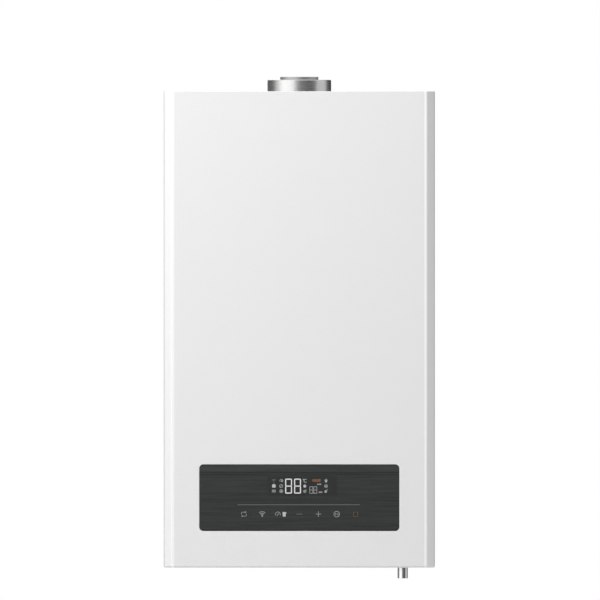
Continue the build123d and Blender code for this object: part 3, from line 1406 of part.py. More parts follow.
with BuildPart() as safety_valve:
    with BuildSketch(Plane.XY.offset(RELIEF_Z)):
        with Locations((RELIEF_X, -RELIEF_D)):
            Circle(relief_reach - TOUCH_GAP)
    extrude(amount=RELIEF_H)
    with BuildSketch(across(BLOCK_X1)):
        with Locations((-RELIEF_D, RELIEF_Z + RELIEF_H / 2)):
            Circle(RELIEF_R)
    extrude(amount=relief_reach)
    with BuildSketch(Plane.XY.offset(relief_top)):
        with Locations((RELIEF_X, -RELIEF_D)):
            Circle(RELIEF_STEM_R)
    extrude(amount=RELIEF_STEM_L)

with BuildPart() as safety_valve_knob:
    with BuildSketch(Plane.XY.offset(relief_top + RELIEF_LIFT)):
        with Locations((RELIEF_X, -RELIEF_D)):
            RegularPolygon(relief_knob_r, 10)
            Circle(RELIEF_STEM_R + RUN_FIT, mode=Mode.SUBTRACT)
    extrude(amount=RELIEF_STEM_L)
    with BuildSketch(Plane.XY.offset(relief_top + RELIEF_LIFT + RELIEF_STEM_L)):
        with Locations((RELIEF_X, -RELIEF_D)):
            RegularPolygon(relief_knob_r, 10)
    extrude(amount=RELIEF_CAP)

PIPE_STEP_Z = TRAY_Z - 2.0  # the discharge pipe slims just below the tray

with BuildPart() as discharge_pipe:
    with BuildSketch(Plane.XY.offset(RELIEF_END)):
        with Locations((RELIEF_X, -RELIEF_D)):
            Circle(RELIEF_R)
    extrude(amount=PIPE_STEP_Z - RELIEF_END)
    with BuildSketch(Plane.XY.offset(PIPE_STEP_Z)):
        with Locations((RELIEF_X, -RELIEF_D)):
            Circle(RELIEF_R - SWAGE)
    extrude(amount=RELIEF_Z - PIPE_STEP_Z)
    with BuildSketch(Plane.XY.offset(RELIEF_END)):
        with Locations((RELIEF_X, -RELIEF_D)):
            Circle(RELIEF_R - SWAGE - PIPE_WALL)
    extrude(amount=RELIEF_Z - RELIEF_END, mode=Mode.SUBTRACT)

# ================================================================ water pipes
FLOW_JOG_TOP = 240.0  # the flow pipe leans back and in between these heights
FLOW_JOG_LOW = 190.0
TIGHT_BEND = 18.0
WIDE_BEND = 30.0

flow_route = [
    (-header_end, -last_tube, exch_mid),
    (FLOW_X, -last_tube, exch_mid),
    (FLOW_X, -last_tube, FLOW_JOG_TOP),
    (FLOW_PORT_X, -RELIEF_D, FLOW_JOG_LOW),
    (FLOW_PORT_X, -RELIEF_D, BLOCK_Z1 + FLOW_UNION),
]
return_route = [
    (header_end, -first_tube, exch_mid),
    (PUMP_OUT_X, -first_tube, exch_mid),
    (PUMP_OUT_X, -first_tube, PUMP_OUT_Z),
]
flow_tube = bent_pipe(flow_route, (TIGHT_BEND, WIDE_BEND, WIDE_BEND), PIPE_R)
return_tube = bent_pipe(return_route, TIGHT_BEND, PIPE_R)

with BuildPart() as flow_pipe:
    add(flow_tube)

with BuildPart() as return_pipe:
    add(return_tube)

# ================================================================ expansion vessel behind the chamber
vessel_back = PLATE + VESSEL_GAP
vessel_front = ROOM_BACK - ROOM_SHEET - VESSEL_GAP
vessel_mid = (vessel_back + vessel_front) / 2
vessel_z = VESSEL_Z0 + VESSEL_H / 2
shell_w = VESSEL_W - 2 * VESSEL_RIM
shell_h = VESSEL_H - 2 * VESSEL_RIM
shell_r = VESSEL_R - VESSEL_RIM
stub_z = VESSEL_Z0 - STUB_L
HOSE_X = 100.0
HOSE_TOP_BEND = 200.0
HOSE_LOW_BEND = 172.0
HOSE_IN = 16.0
HOSE_TURN_R = 20.0
PAD_R = 8.0

with BuildPart() as expansion_vessel:
    with BuildSketch(at_depth(vessel_back)):
        with Locations((0, vessel_z)):
            RectangleRounded(shell_w, shell_h, shell_r)
    extrude(amount=vessel_front - vessel_back)
    with BuildSketch(at_depth(vessel_mid - VESSEL_SEAM_T / 2)):
        with Locations((0, vessel_z)):
            RectangleRounded(VESSEL_W, VESSEL_H, VESSEL_R)
    extrude(amount=VESSEL_SEAM_T)
    with BuildSketch(Plane.XY.offset(stub_z)):
        with Locations((HOSE_X, -vessel_mid)):
            Circle(STUB_R)
    extrude(amount=2 * STUB_L)
    with BuildSketch(at_depth(vessel_back + VESSEL_SHEET)):
        with Locations((0, vessel_z)):
            RectangleRounded(shell_w - 2 * VESSEL_SHEET, shell_h - 2 * VESSEL_SHEET, shell_r - VESSEL_SHEET)
    extrude(amount=vessel_front - vessel_back - 2 * VESSEL_SHEET, mode=Mode.SUBTRACT)
    with BuildSketch(Plane.XY.offset(stub_z)):
        with Locations((HOSE_X, -vessel_mid)):
            Circle(STUB_R - STUB_WALL)
    extrude(amount=2 * STUB_L + VESSEL_SHEET, mode=Mode.SUBTRACT)
    with BuildSketch(at_depth(PLATE)):
        with Locations((0, vessel_z)):
            with GridLocations(VESSEL_W / 2, VESSEL_H / 2, 2, 2):
                Circle(PAD_R)
    extrude(amount=VESSEL_GAP)

hose_route = [
    (HOSE_X, -vessel_mid, stub_z),
    (HOSE_X, -vessel_mid, HOSE_TOP_BEND),
    (BLOCK_X0 + HOSE_IN, -BLOCK_BACK - HOSE_IN, HOSE_LOW_BEND),
    (BLOCK_X0 + HOSE_IN, -BLOCK_BACK - HOSE_IN, BLOCK_Z1),
]
hose_tube = bent_pipe(hose_route, HOSE_TURN_R, STUB_R)

with BuildPart() as expansion_hose:
    add(hose_tube)

pieces = {
    "front_cover": front_cover,
    "left_side_panel": left_side_panel,
    "right_side_panel": right_side_panel,
    "top_panel": top_panel,
    "rear_frame": rear_frame,
    "bottom_plate": bottom_plate,
    "control_glass": control_glass,
    "control_box": control_box,
    "control_box_lid": control_box_lid,
    "main_circuit_board": main_circuit_board,
    "display_board": display_board,
    "control_box_brackets": control_box_brackets,
    "chamber_box": chamber_box,
    "chamber_gasket": chamber_gasket,
    "chamber_panel": chamber_panel,
    "sight_glass": sight_glass,
    "chamber_panel_screws": chamber_panel_screws,
    "burner_blades": burner_blades,
    "burner_frame": burner_frame,
    "gas_manifold": gas_manifold,
    "combustion_chamber": combustion_chamber,
    "insulation_boards": insulation_boards,
    "electrodes": electrodes,
    "exchanger_tubes": exchanger_tubes,
    "exchanger_fins": exchanger_fins,
    "exchanger_casing": exchanger_casing,
    "exchanger_headers": exchanger_headers,
    "flue_hood": flue_hood,
    "fan_casing": fan_casing,
    "fan_impeller": fan_impeller,
    "fan_motor": fan_motor,
    "flue_duct": flue_duct,
    "flue_collar": flue_collar,
    "collar_seal": collar_seal,
    "air_pressure_switch": air_pressure_switch,
    "pressure_switch_tubes": pressure_switch_tubes,
    "gas_valve": gas_valve,
    "gas_pipe": gas_pipe,
    "ignition_transformer": ignition_transformer,
    "connection_nipples": connection_nipples,
    "cable_gland": cable_gland,
    "flow_block": flow_block,
    "diverter_actuator": diverter_actuator,
    "diverter_spindle": diverter_spindle,
    "pressure_sensor": pressure_sensor,
    "return_block": return_block,
    "flow_turbine": flow_turbine,
    "filling_valve_knob": filling_valve_knob,
    "plate_heat_exchanger": plate_heat_exchanger,
    "pump_body": pump_body,
    "pump_impeller": pump_impeller,
    "pump_motor": pump_motor,
    "air_vent": air_vent,
    "safety_valve": safety_valve,
    "safety_valve_knob": safety_valve_knob,
    "discharge_pipe": discharge_pipe,
    "flow_pipe": flow_pipe,
    "return_pipe": return_pipe,
    "expansion_vessel": expansion_vessel,
    "expansion_hose": expansion_hose,
}

for node, piece in pieces.items():
    piece.part.label = node
    export_step(piece.part, f"parts/{node}.step")
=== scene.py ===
# %% [markdown]
# # A wall-hung combi boiler, dressed for its portrait
# The CAD model gives a frame of plain solids, each in its real place and on its own moving
# body. Here those solids get their finishes, and the ones whose shape shows are modelled
# again with rounder edges. Blender counts in metres and the sizes below are millimetres, so
# they are multiplied by MM. The wall is at y = 0 and the room is on the -Y side.

# %% Load the frame
import json
from math import cos, pi, radians, sin

import bmesh
import bpy
from mathutils import Matrix, Vector


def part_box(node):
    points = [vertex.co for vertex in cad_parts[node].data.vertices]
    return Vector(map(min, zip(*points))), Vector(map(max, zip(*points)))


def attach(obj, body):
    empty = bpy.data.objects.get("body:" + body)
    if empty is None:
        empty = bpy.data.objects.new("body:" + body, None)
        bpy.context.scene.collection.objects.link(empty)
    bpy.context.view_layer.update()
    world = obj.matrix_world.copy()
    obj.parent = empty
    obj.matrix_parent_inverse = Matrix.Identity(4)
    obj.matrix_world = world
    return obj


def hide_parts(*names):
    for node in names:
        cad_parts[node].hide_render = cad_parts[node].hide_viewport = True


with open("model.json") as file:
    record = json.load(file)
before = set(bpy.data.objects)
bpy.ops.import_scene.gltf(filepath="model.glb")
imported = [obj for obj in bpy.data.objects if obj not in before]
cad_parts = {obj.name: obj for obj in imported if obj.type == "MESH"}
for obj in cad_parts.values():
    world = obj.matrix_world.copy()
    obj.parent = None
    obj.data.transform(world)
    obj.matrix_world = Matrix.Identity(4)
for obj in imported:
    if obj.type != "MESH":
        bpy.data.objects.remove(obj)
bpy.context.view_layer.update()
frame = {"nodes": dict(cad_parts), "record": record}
MM = 0.001

# %% [markdown]
# ## Colours and shader nodes
# Colours are written as people pick them, in sRGB hex, and turned linear by one function,
# because a shader works in linear light. One more function adds a node with its settings
# and what feeds it, so each finish below reads as a short recipe.

# %% Helpers for every finish


def linear(code):
    """Linear RGBA from an sRGB hex code such as e9e9e8."""
    channels = [int(code[i : i + 2], 16) / 255 for i in (0, 2, 4)]
    return [c / 12.92 if c <= 0.04045 else ((c + 0.055) / 1.055) ** 2.4 for c in channels] + [1.0]


def stop_colour(tone):
    """Colour of a ramp's stop, from a hex code, a plain level or four channels."""
    if isinstance(tone, str):
        return linear(tone)
    return (tone, tone, tone, 1.0) if isinstance(tone, (int, float)) else tone


def link_up(tree, node, links):
    """Feeds a node's sockets from other nodes, by their first output or by the output given."""
    for name, source in links.items():
        output = source if isinstance(source, bpy.types.NodeSocket) else source.outputs[0]
        tree.links.new(output, node.inputs[name])


def add_node(tree, kind, options=None, values=None, links=None, stops=()):
    """Adds one node: its menus, its sockets' values, what feeds them and its ramp's stops."""
    made = tree.nodes.new("ShaderNode" + kind)
    for name, value in (options or {}).items():
        setattr(made, name, value)
    for name, value in (values or {}).items():
        made.inputs[name].default_value = value
    link_up(tree, made, links or {})
    if stops:
        ramp = made.color_ramp.elements
        for end, (position, tone) in ((ramp[0], stops[0]), (ramp[-1], stops[-1])):
            end.position, end.color = position, stop_colour(tone)
        for position, tone in stops[1:-1]:
            ramp.new(position).color = stop_colour(tone)
    return made


def start_finish(name, colour, metallic, roughness, **more):
    """A new material with its shader's constants set; returns it with its tree and shader."""
    material = bpy.data.materials.new(name)
    material.use_nodes = True
    shader = material.node_tree.nodes["Principled BSDF"]
    constants = {"Base Color": linear(colour), "Metallic": metallic, "Roughness": roughness}
    constants |= {key.replace("_", " "): value for key, value in more.items()}
    for socket, value in constants.items():
        shader.inputs[socket].default_value = value
    print("finish", name)
    return material, material.node_tree, shader


# %% [markdown]
# ## One grain for many finishes
# Paint, moulded plastic, castings and rolled sheet all have the same kind of detail: small
# grains that lighten and darken the colour, change the gloss and stand up a little. A noise
# whose size is the grain's real size drives all three. A grain too fine for the picture is
# drawn as coarse as it needs to show.

# %% Grain helpers
finishes = {}


def grained(finish, dark, light, grain_mm, gloss, height_mm, stretch=(1, 1, 1)):
    """Noise of a real grain size drives a finish's colour, roughness and bump."""
    material, tree, shader = finish
    place = add_node(tree, "TexCoord").outputs["Object"]
    sizes = [1 / (grain_mm * MM * s) for s in stretch]
    spread = add_node(tree, "Mapping", values={"Scale": sizes}, links={"Vector": place})
    noise = add_node(tree, "TexNoise", values={"Scale": 1.0, "Detail": 3.0}, links={"Vector": spread})
    tint = add_node(tree, "ValToRGB", links={"Fac": noise}, stops=((0.35, dark), (0.65, light)))
    polish = add_node(
        tree, "MapRange", values={"To Min": gloss[0], "To Max": gloss[1]}, links={"Value": noise}
    )
    relief = add_node(
        tree, "Bump", values={"Strength": 1.0, "Distance": height_mm * MM}, links={"Height": noise}
    )
    link_up(tree, shader, {"Base Color": tint, "Roughness": polish, "Normal": relief})
    return material


def add_finish(slot, name, colours, metallic, roughness, grain_mm, gloss, height_mm, stretch=(1, 1, 1)):
    """Makes a slot's grained finish; colours are its middle, dark and light tones."""
    middle, dark, light = colours.split()
    base = start_finish(name, middle, metallic, roughness)
    finishes[slot] = grained(base, dark, light, grain_mm, gloss, height_mm, stretch)


# %% [markdown]
# ## The casing's paint
# The casing is steel sheet with a baked powder coat. Powder melts into a skin with a faint
# orange peel, about 1.5 mm from crest to crest, under a thin clear gloss. It is a touch off
# white, so that the lamps have room to shade it. Down the front, just inside either fold,
# a ramp over the distance from the middle paints a whiter line some 5 mm wide. This line is
# a painted highlight, standing in for the light that the fold catches.

# %% White powder coat with a painted fold highlight
FOLD_HIGHLIGHT, FOLD_Y = (193.6, 201.0), -316.5
powder_coat = start_finish(
    "white powder-coated steel with painted fold highlight", "eaeaea", 0.0, 0.3, Coat_Weight=1.0, Coat_Roughness=0.06, Coat_IOR=1.6
)
finishes["white_enamel"] = grained(powder_coat, "e9e9e9", "ebebeb", 1.5, (0.26, 0.34), 0.002)
tree, shader = powder_coat[1:]
peel_tint = shader.inputs["Base Color"].links[0].from_socket
place = add_node(tree, "TexCoord").outputs["Object"]
split = add_node(tree, "SeparateXYZ", links={"Vector": place})
aside = add_node(tree, "Math", options={"operation": "ABSOLUTE"}, links={0: split.outputs["X"]})
across = add_node(
    tree, "MapRange", links={"Value": aside},
    values={"From Min": FOLD_HIGHLIGHT[0] * MM, "From Max": FOLD_HIGHLIGHT[1] * MM},
)
# A ramp across each fold paints a whiter stripe on the front: a painted highlight, not a paint colour.
fold_highlight_stops = ((0.0, 0.0), (0.15, 0.0), (0.4, 1.0), (0.6, 1.0), (0.85, 0.0), (1.0, 0.0))
line = add_node(tree, "ValToRGB", links={"Fac": across}, stops=fold_highlight_stops)
ahead = add_node(
    tree, "Math", options={"operation": "LESS_THAN"}, values={1: FOLD_Y * MM}, links={0: split.outputs["Y"]}
)
highlight_on_front = add_node(tree, "Math", options={"operation": "MULTIPLY"}, links={0: line, 1: ahead})
highlighted = add_node(
    tree, "Mix", options={"data_type": "RGBA"}, values={"B": linear("fafafa")},
    links={"Factor": highlight_on_front, "A": peel_tint},
)
link_up(tree, shader, {"Base Color": highlighted.outputs["Result"]})

# %% [markdown]
# ## Sheet steels
# Hot-dip galvanised sheet freezes in flat crystals, the spangle, some 6 mm across. Each
# crystal takes one tone, which a Voronoi pattern gives. The aluminised steel round the fire
# is a dull satin with a fine grain along the rolling direction.

# %% Galvanised and aluminised sheet
SPANGLE = 6.0
galvanised, tree, shader = start_finish("galvanised sheet steel", "a9adae", 0.85, 0.45)
place = add_node(tree, "TexCoord").outputs["Object"]
spangle = add_node(
    tree, "TexVoronoi", values={"Scale": 1 / (SPANGLE * MM)}, links={"Vector": place}
)
tone = add_node(tree, "SeparateColor", links={"Color": spangle.outputs["Color"]})
tint = add_node(tree, "ValToRGB", links={"Fac": tone}, stops=((0.0, "a2a6a8"), (1.0, "bcc0c1")))
dull = add_node(tree, "MapRange", values={"To Min": 0.38, "To Max": 0.52}, links={"Value": tone.outputs[1]})
link_up(tree, shader, {"Base Color": tint, "Roughness": dull})
finishes["galvanised_steel"] = galvanised
add_finish(
    "aluminised_steel", "aluminised sheet steel", "b7b6b1 adaca6 c0bfba", 0.85, 0.45, 1.2, (0.4, 0.52), 0.005,
    stretch=(1, 1, 12),
)

# %% [markdown]
# ## The black control glass
# The glass is printed from behind with a dark grey film that has fine level streaks, like
# brushed metal or dark wood. Most streaks are faint and 1 to 3 mm high. Near the top there is
# a lighter band with two darker lines under it. A long noise gives the faint streaks and a
# ramp over the height gives the band and the lines.

# %% Printed glass
GLASS = {"w": 312.0, "h": 103.4, "z": 109.5, "r": 6.0, "back": 316.4, "front": 319.4, "ease": 0.4}
STREAK_LENGTH, STREAK_HEIGHT, FULL = 70.0, 2.2, 1.2
black_glass, tree, shader = start_finish(
    "black printed glass", "333635", 0.0, 0.12, Coat_Weight=0.3, Coat_Roughness=0.05
)
place = add_node(tree, "TexCoord").outputs["Object"]
spread = add_node(
    tree, "Mapping", values={"Scale": (1 / (STREAK_LENGTH * MM), 1.0, 1 / (STREAK_HEIGHT * MM))},
    links={"Vector": place},
)
streak = add_node(
    tree, "TexNoise", values={"Scale": 1.0, "Detail": 4.0, "Roughness": 0.6}, links={"Vector": spread}
)
tint = add_node(tree, "ValToRGB", links={"Fac": streak}, stops=((0.3, "2c302e"), (0.7, "3a3e3c")))
split = add_node(tree, "SeparateXYZ", links={"Vector": place})
low, high = (GLASS["z"] - GLASS["h"] / 2) * MM, (GLASS["z"] + GLASS["h"] / 2) * MM
height = add_node(
    tree, "MapRange", values={"From Min": low, "From Max": high}, links={"Value": split.outputs["Z"]}
)
film = (
    (0.02, 0.94), (0.2, 1.0), (0.4, 0.96), (0.46, 0.86), (0.5, 1.0), (0.55, 0.92), (0.6, 1.03), (0.8, 1.0),
    (0.838, 1.0), (0.846, 0.6), (0.854, 0.62), (0.862, 1.02), (0.868, 1.02), (0.876, 0.6), (0.884, 0.64),
    (0.893, 1.17), (0.95, 1.2), (0.99, 1.08),
)
film_stops = [(0.0, 0.0), *((position, level / FULL) for position, level in film), (1.0, 1.0)]
bands = add_node(tree, "ValToRGB", links={"Fac": height}, stops=film_stops)
bands.color_ramp.interpolation = "EASE"
shade = add_node(
    tree, "Mix", options={"data_type": "RGBA", "blend_type": "MULTIPLY"}, values={"Factor": 1.0},
    links={"A": tint, "B": bands},
)
link_up(tree, shader, {"Base Color": shade.outputs["Result"]})
finishes["black_glass"] = black_glass

# %% [markdown]
# ## Stainless and polished steel
# The flue collar is rolled stainless sheet, lightly brushed round its length, so it still
# mirrors the studio in soft upright bands. The flue tube in it is drawn and duller. The
# discharge pipe is polished and mirrors sharply. All are plain metals, and all they show is
# what stands round them.

# %% Stainless steels and zinc
for row in (
    ("stainless_steel", "brushed stainless steel", "d2d2d1 d1d1d0 d5d5d4", 1.0, 0.34, 0.8, (0.25, 0.29),
     0.0006, (10, 10, 1)),
    ("flue_tube", "drawn stainless flue tube", "dcdcdb dadad9 dededd", 1.0, 0.58, 1.5, (0.56, 0.6), 0.001),
    ("polished_steel", "polished steel tube", "d6d6d6 d3d3d3 d9d9d9", 1.0, 0.12, 2.0, (0.1, 0.16), 0.001,
     (1, 1, 6)),
    ("zinc_screw", "bright zinc-plated screw", "c4c3b8 bab9ad cfcec4", 1.0, 0.3, 0.8, (0.25, 0.38), 0.003),
):
    add_finish(*row)

# %% [markdown]
# ## Copper, brass and cast aluminium
# Drawn copper tube is bright but browns a little where it was handled, in patches of a few
# centimetres. Brass fittings are turned, so they are even and glossy. The gas valve is a
# pressure casting with a dull, finely pebbled skin.

# %% Coloured metals and castings
for row in (
    ("copper", "drawn copper tube", "c98663 b8714f d69a78", 1.0, 0.3, 18, (0.24, 0.38), 0.01),
    ("brass", "turned brass", "cdb26a c2a55c d8bf7c", 1.0, 0.28, 6, (0.22, 0.34), 0.004),
    ("cast_aluminium", "die-cast aluminium", "a9abac 9b9d9e b6b8b9", 0.9, 0.5, 0.7, (0.44, 0.6), 0.04),
):
    add_finish(*row)

# %% [markdown]
# ## Moulded plastics and rubber
# The control box and the caps are moulded with a fine spark texture, half a millimetre
# across, that keeps them from shining. The water blocks are glass-filled nylon, greyer and
# with a slight flow pattern. Rubber is darker and rougher than any plastic here.

# %% Plastics
for row in (
    ("dark_plastic", "dark moulded ABS", "2a2b2c 272829 2f3031", 0.0, 0.55, 0.6, (0.5, 0.62), 0.03),
    ("grey_composite", "glass-filled nylon", "55585a 4d5052 5e6163", 0.0, 0.5, 2.5, (0.42, 0.58), 0.03),
    ("white_plastic", "white moulded PBT", "dededa d8d8d3 e4e4e0", 0.0, 0.45, 0.8, (0.38, 0.5), 0.02),
    ("red_plastic", "red moulded nylon", "b3231a a61f17 bf2a20", 0.0, 0.42, 0.8, (0.36, 0.48), 0.02),
    ("blue_plastic", "blue moulded nylon", "1f5797 1c4f8a 2460a5", 0.0, 0.42, 0.8, (0.36, 0.48), 0.02),
    ("black_rubber", "black EPDM rubber", "1c1c1c 181818 222222", 0.0, 0.75, 0.5, (0.68, 0.82), 0.04),
    ("grey_silicone", "grey silicone rubber", "989a9b 919394 a0a2a3", 0.0, 0.5, 1.5, (0.42, 0.56), 0.02),
):
    add_finish(*row)

# %% [markdown]
# ## Paints, ceramics and glass
# The vessel is dipped in red gloss paint and the motors in black. The fire's boards are
# matted ceramic fibre with a soft, felted skin, and the spark rods sit in glazed white
# ceramic. The sight glass is clear borosilicate, so it only needs its own index.

# %% Paints, ceramics and clear glass
for row in (
    ("red_paint", "red gloss paint on steel", "9c1f1a 941c17 a6241e", 0.0, 0.25, 3, (0.2, 0.3), 0.02),
    ("black_paint", "black satin paint on steel", "1e1f20 1b1c1d 252627", 0.0, 0.38, 1.0, (0.34, 0.44), 0.02),
    ("ceramic_fibre", "ceramic fibre board", "e2dfd5 d6d2c6 ebe9e1", 0.0, 0.95, 2.2, (0.9, 1.0), 0.35),
    ("white_ceramic", "glazed alumina", "e9e6dc e4e1d6 eeece3", 0.0, 0.2, 4, (0.15, 0.25), 0.01),
):
    add_finish(*row)
clear = start_finish("clear borosilicate glass", "f4f8f6", 0.0, 0.02, Transmission_Weight=1.0, IOR=1.47)
finishes["clear_glass"] = clear[0]

# %% [markdown]
# ## Circuit board
# A board's green is a thin lacquer over copper tracks about 1.2 mm wide. The tracks run
# square to the edges, so a Voronoi pattern that measures distance in steps along the axes
# gives cells with straight sides, and their edges are drawn as lighter lines.

# %% Solder mask with tracks
TRACK_CELL = 7.0
board_look = start_finish("green solder mask on copper tracks", "14502f", 0.0, 0.35)
finishes["green_board"], tree, shader = board_look
place = add_node(tree, "TexCoord").outputs["Object"]
cells = [
    add_node(
        tree, "TexVoronoi", options={"feature": feature, "distance": "CHEBYCHEV"},
        values={"Scale": 1 / (TRACK_CELL * MM), "Randomness": 0.85},
        links={"Vector": place},
    )
    for feature in ("F2", "F1")
]
edge_links = {i: cell.outputs["Distance"] for i, cell in enumerate(cells)}
edge = add_node(tree, "Math", options={"operation": "SUBTRACT"}, links=edge_links)
line = add_node(tree, "ValToRGB", links={"Fac": edge}, stops=((0.1, "2f7a4a"), (0.16, "124a2b")))

# %% [markdown]
# Only the flat sheets are green. What stands on them is told apart by its depth: the nylon
# posts behind the main board, its black relays and sockets in front, the bare aluminium
# tops of the two capacitors, and the black chip behind the display. The ramp's alpha says
# where a sheet lies.

# %% Parts on the boards
POST_L, FIBREGLASS_T, RELAY_H, HAIR = 14.0, 1.6, 24.0, 0.05
SHEET = (*linear("124a2b")[:3], 1)
NYLON, RELAY_BLACK, CAN_TOP = ((*linear(tone)[:3], 0) for tone in ("d8d5ca", "27292c", "b4b7b9"))
can_front, rear = (-end.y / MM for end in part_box("main_circuit_board"))
front = -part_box("display_board")[0].y / MM
sheet_face = rear + POST_L + FIBREGLASS_T
layers = (
    (rear, NYLON), (rear + POST_L - HAIR, SHEET), (sheet_face + HAIR, RELAY_BLACK),
    (sheet_face + RELAY_H + HAIR, CAN_TOP), (can_front + 1, RELAY_BLACK),
    (front - FIBREGLASS_T - HAIR, SHEET),
    (front, SHEET),
)
depth = add_node(tree, "SeparateXYZ", links={"Vector": place})
reach = add_node(
    tree, "MapRange", links={"Value": depth.outputs["Y"]},
    values={"From Min": -rear * MM, "From Max": -front * MM},
)
layer_stops = [((start - rear) / (front - rear), colour) for start, colour in layers]
standing = add_node(tree, "ValToRGB", links={"Fac": reach}, stops=layer_stops)
standing.color_ramp.interpolation = "CONSTANT"
mounted = add_node(
    tree, "Mix", options={"data_type": "RGBA"},
    links={"Factor": standing.outputs["Alpha"], "A": standing, "B": line},
)
link_up(tree, shader, {"Base Color": mounted.outputs["Result"]})

# %% [markdown]
# ## Which node gets which finish
# The record names a slot for every node, and each slot has one of the finishes above. The
# CAD nodes are dressed first, and the pieces that replace some of them take the same slot.

# %% Dress the CAD nodes
slots = {part["node"]: part["material_slot"] for part in frame["record"]["subparts"]}
bodies = {node: body for body, nodes in frame["record"]["behaviour"]["bodies"].items() for node in nodes}
for node, slot in slots.items():
    look = frame["nodes"][node].data.materials
    look.clear()
    look.append(finishes[slot])
print("dressed", len(slots), "nodes in", len(set(slots.values())), "finishes")

# %% [markdown]
# ## Starting and finishing a piece
# Every new piece starts from a primitive and is shaped in edit mode. Operators act on all
# that is selected, so nothing else may be. At the end its place goes into its mesh, its
# faces get smooth shading up to an angle, and it rides on the body that carries it.

# %% Helpers for starting and finishing a piece


def pick(*pieces):
    """Selects only these pieces and makes the first one active."""
    bpy.ops.object.select_all(action="DESELECT")
    for piece in pieces:
        piece.select_set(True)
    bpy.context.view_layer.objects.active = pieces[0]


def begin(primitive, name, **settings):
    """Adds a primitive with nothing else selected and puts its place into its mesh."""
    bpy.ops.object.select_all(action="DESELECT")
    primitive(**settings)
    piece = bpy.context.object
    piece.name = name
    bpy.ops.object.transform_apply(location=True, rotation=True, scale=True)
    return piece


def block(name, low, high):
    """A box between two corners, given in millimetres."""
    low, high = Vector(low) * MM, Vector(high) * MM
    middle, size = (low + high) / 2, high - low
    return begin(bpy.ops.mesh.primitive_cube_add, name, size=1, location=middle, scale=size)


def modify(piece, kind, **settings):
    """Gives a piece a modifier and applies it."""
    pick(piece)
    change = piece.modifiers.new(kind.lower(), kind)
    for name, value in settings.items():
        setattr(change, name, value)
    bpy.ops.object.modifier_apply(modifier=change.name)


def joined(name, shapes):
    """Joins shapes into one mesh."""
    pick(*shapes)
    if len(shapes) > 1:
        bpy.ops.object.join()
    shapes[0].name = name
    return shapes[0]


def finish_piece(piece, body, slot, *nodes, angle=35):
    """Smooths a piece, gives it its finish and body, and hides the CAD nodes it stands for."""
    pick(piece)
    bpy.ops.object.shade_smooth_by_angle(angle=radians(angle))
    modify(piece, "WEIGHTED_NORMAL", keep_sharp=True)
    if not piece.data.materials:
        piece.data.materials.append(finishes[slot])
    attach(piece, body)
    if nodes:
        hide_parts(*nodes)
    print("piece", piece.name, "on", body, len(piece.data.polygons), "faces")


# %% Helpers for edit mode


def edit(piece, kind, test):
    """Opens a piece in edit mode with only the edges or faces that pass the test selected."""
    pick(piece)
    bpy.ops.object.mode_set(mode="EDIT")
    bpy.ops.mesh.select_mode(type=kind)
    bpy.ops.mesh.select_all(action="DESELECT")
    mesh = bmesh.from_edit_mesh(piece.data)
    parts = {"VERT": mesh.verts, "EDGE": mesh.edges, "FACE": mesh.faces}[kind]
    chosen = [part for part in parts if test(part)]
    for part in chosen:
        part.select_set(True)
    bmesh.update_edit_mesh(piece.data)
    return len(chosen)


def close_edit(outward=False):
    """Leaves edit mode, after turning all faces outwards if asked."""
    if outward:
        bpy.ops.mesh.select_all(action="SELECT")
        bpy.ops.mesh.remove_doubles(threshold=0.002 * MM)
        bpy.ops.mesh.normals_make_consistent(inside=False)
    bpy.ops.object.mode_set(mode="OBJECT")


def roll_edges(piece, test, width, segments):
    """Bevels the edges that pass the test by a width in millimetres."""
    count = edit(piece, "EDGE", test)
    bpy.ops.mesh.bevel(offset=width * MM, segments=segments, affect="EDGES")
    close_edit()
    return count


def delete_faces(piece, test):
    """Removes the faces that pass the test."""
    edit(piece, "FACE", test)
    bpy.ops.mesh.delete(type="FACE")
    close_edit()


def extrude_by(x, y, z):
    """Extrudes the selected faces by a shift in millimetres."""
    bpy.ops.mesh.extrude_region_move(TRANSFORM_OT_translate={"value": (x * MM, y * MM, z * MM)})


def stepped_top(piece, inset, height):
    """Raises the middle of a piece's top face, leaving a ledge round it."""
    edit(piece, "FACE", lambda f: f.normal.z > 0.9)
    bpy.ops.mesh.inset(thickness=inset * MM)
    extrude_by(0, 0, height)
    close_edit(outward=True)


# %% [markdown]
# ## The front cover
# The cover is one sheet folded into a shallow tray. A slanted band runs up either corner,
# rolled into the face and the side, and a small slant along the bottom keeps that edge in
# shade. As a sheet it is easiest made from its outside: a box without a back, its edges
# bevelled, then given its wall. The underside keeps only a lip at the front, so the rest of
# it is cut off first. The window is cut last.

# %% Fold the cover
COVER = {"w": 424.0, "h": 745.0, "back": 250.4, "front": 320.0, "sheet": 1.2, "lip": 24.0}
BAND, FACE_ROLL, SIDE_ROLL, LOWER_SLANT, UPPER_ROLL = 12.0, 3.5, 8.0, 2.2, 1.0
ROLL_RUN = 2**0.5 - 1  # how far a roll of radius 1 runs along either side of a 45 degree fold
front_y, back_y = -COVER["front"] * MM, -COVER["back"] * MM
half_w = COVER["w"] / 2
cover = block("cover_shell", (-half_w, -COVER["front"], 0), (half_w, -COVER["back"], COVER["h"]))
delete_faces(cover, lambda f: f.normal.y > 0.9)


def upright(from_y, to_y):
    """Picks the upright edges whose depth lies between two values of y in metres."""
    def test(e):
        a, b = (v.co for v in e.verts)
        return abs(a.x - b.x) + abs(a.y - b.y) < 1e-6 and from_y < a.y < to_y
    return test


def on_rim(low):
    """Picks the edges along the cover's bottom or top, except on its open rear rim."""
    def test(e):
        a, b = (v.co for v in e.verts)
        at_end = max(a.z, b.z) < MM if low else min(a.z, b.z) > (COVER["h"] - 1) * MM
        return at_end and min(a.y, b.y) < back_y - MM and len(e.link_faces) == 2
    return test


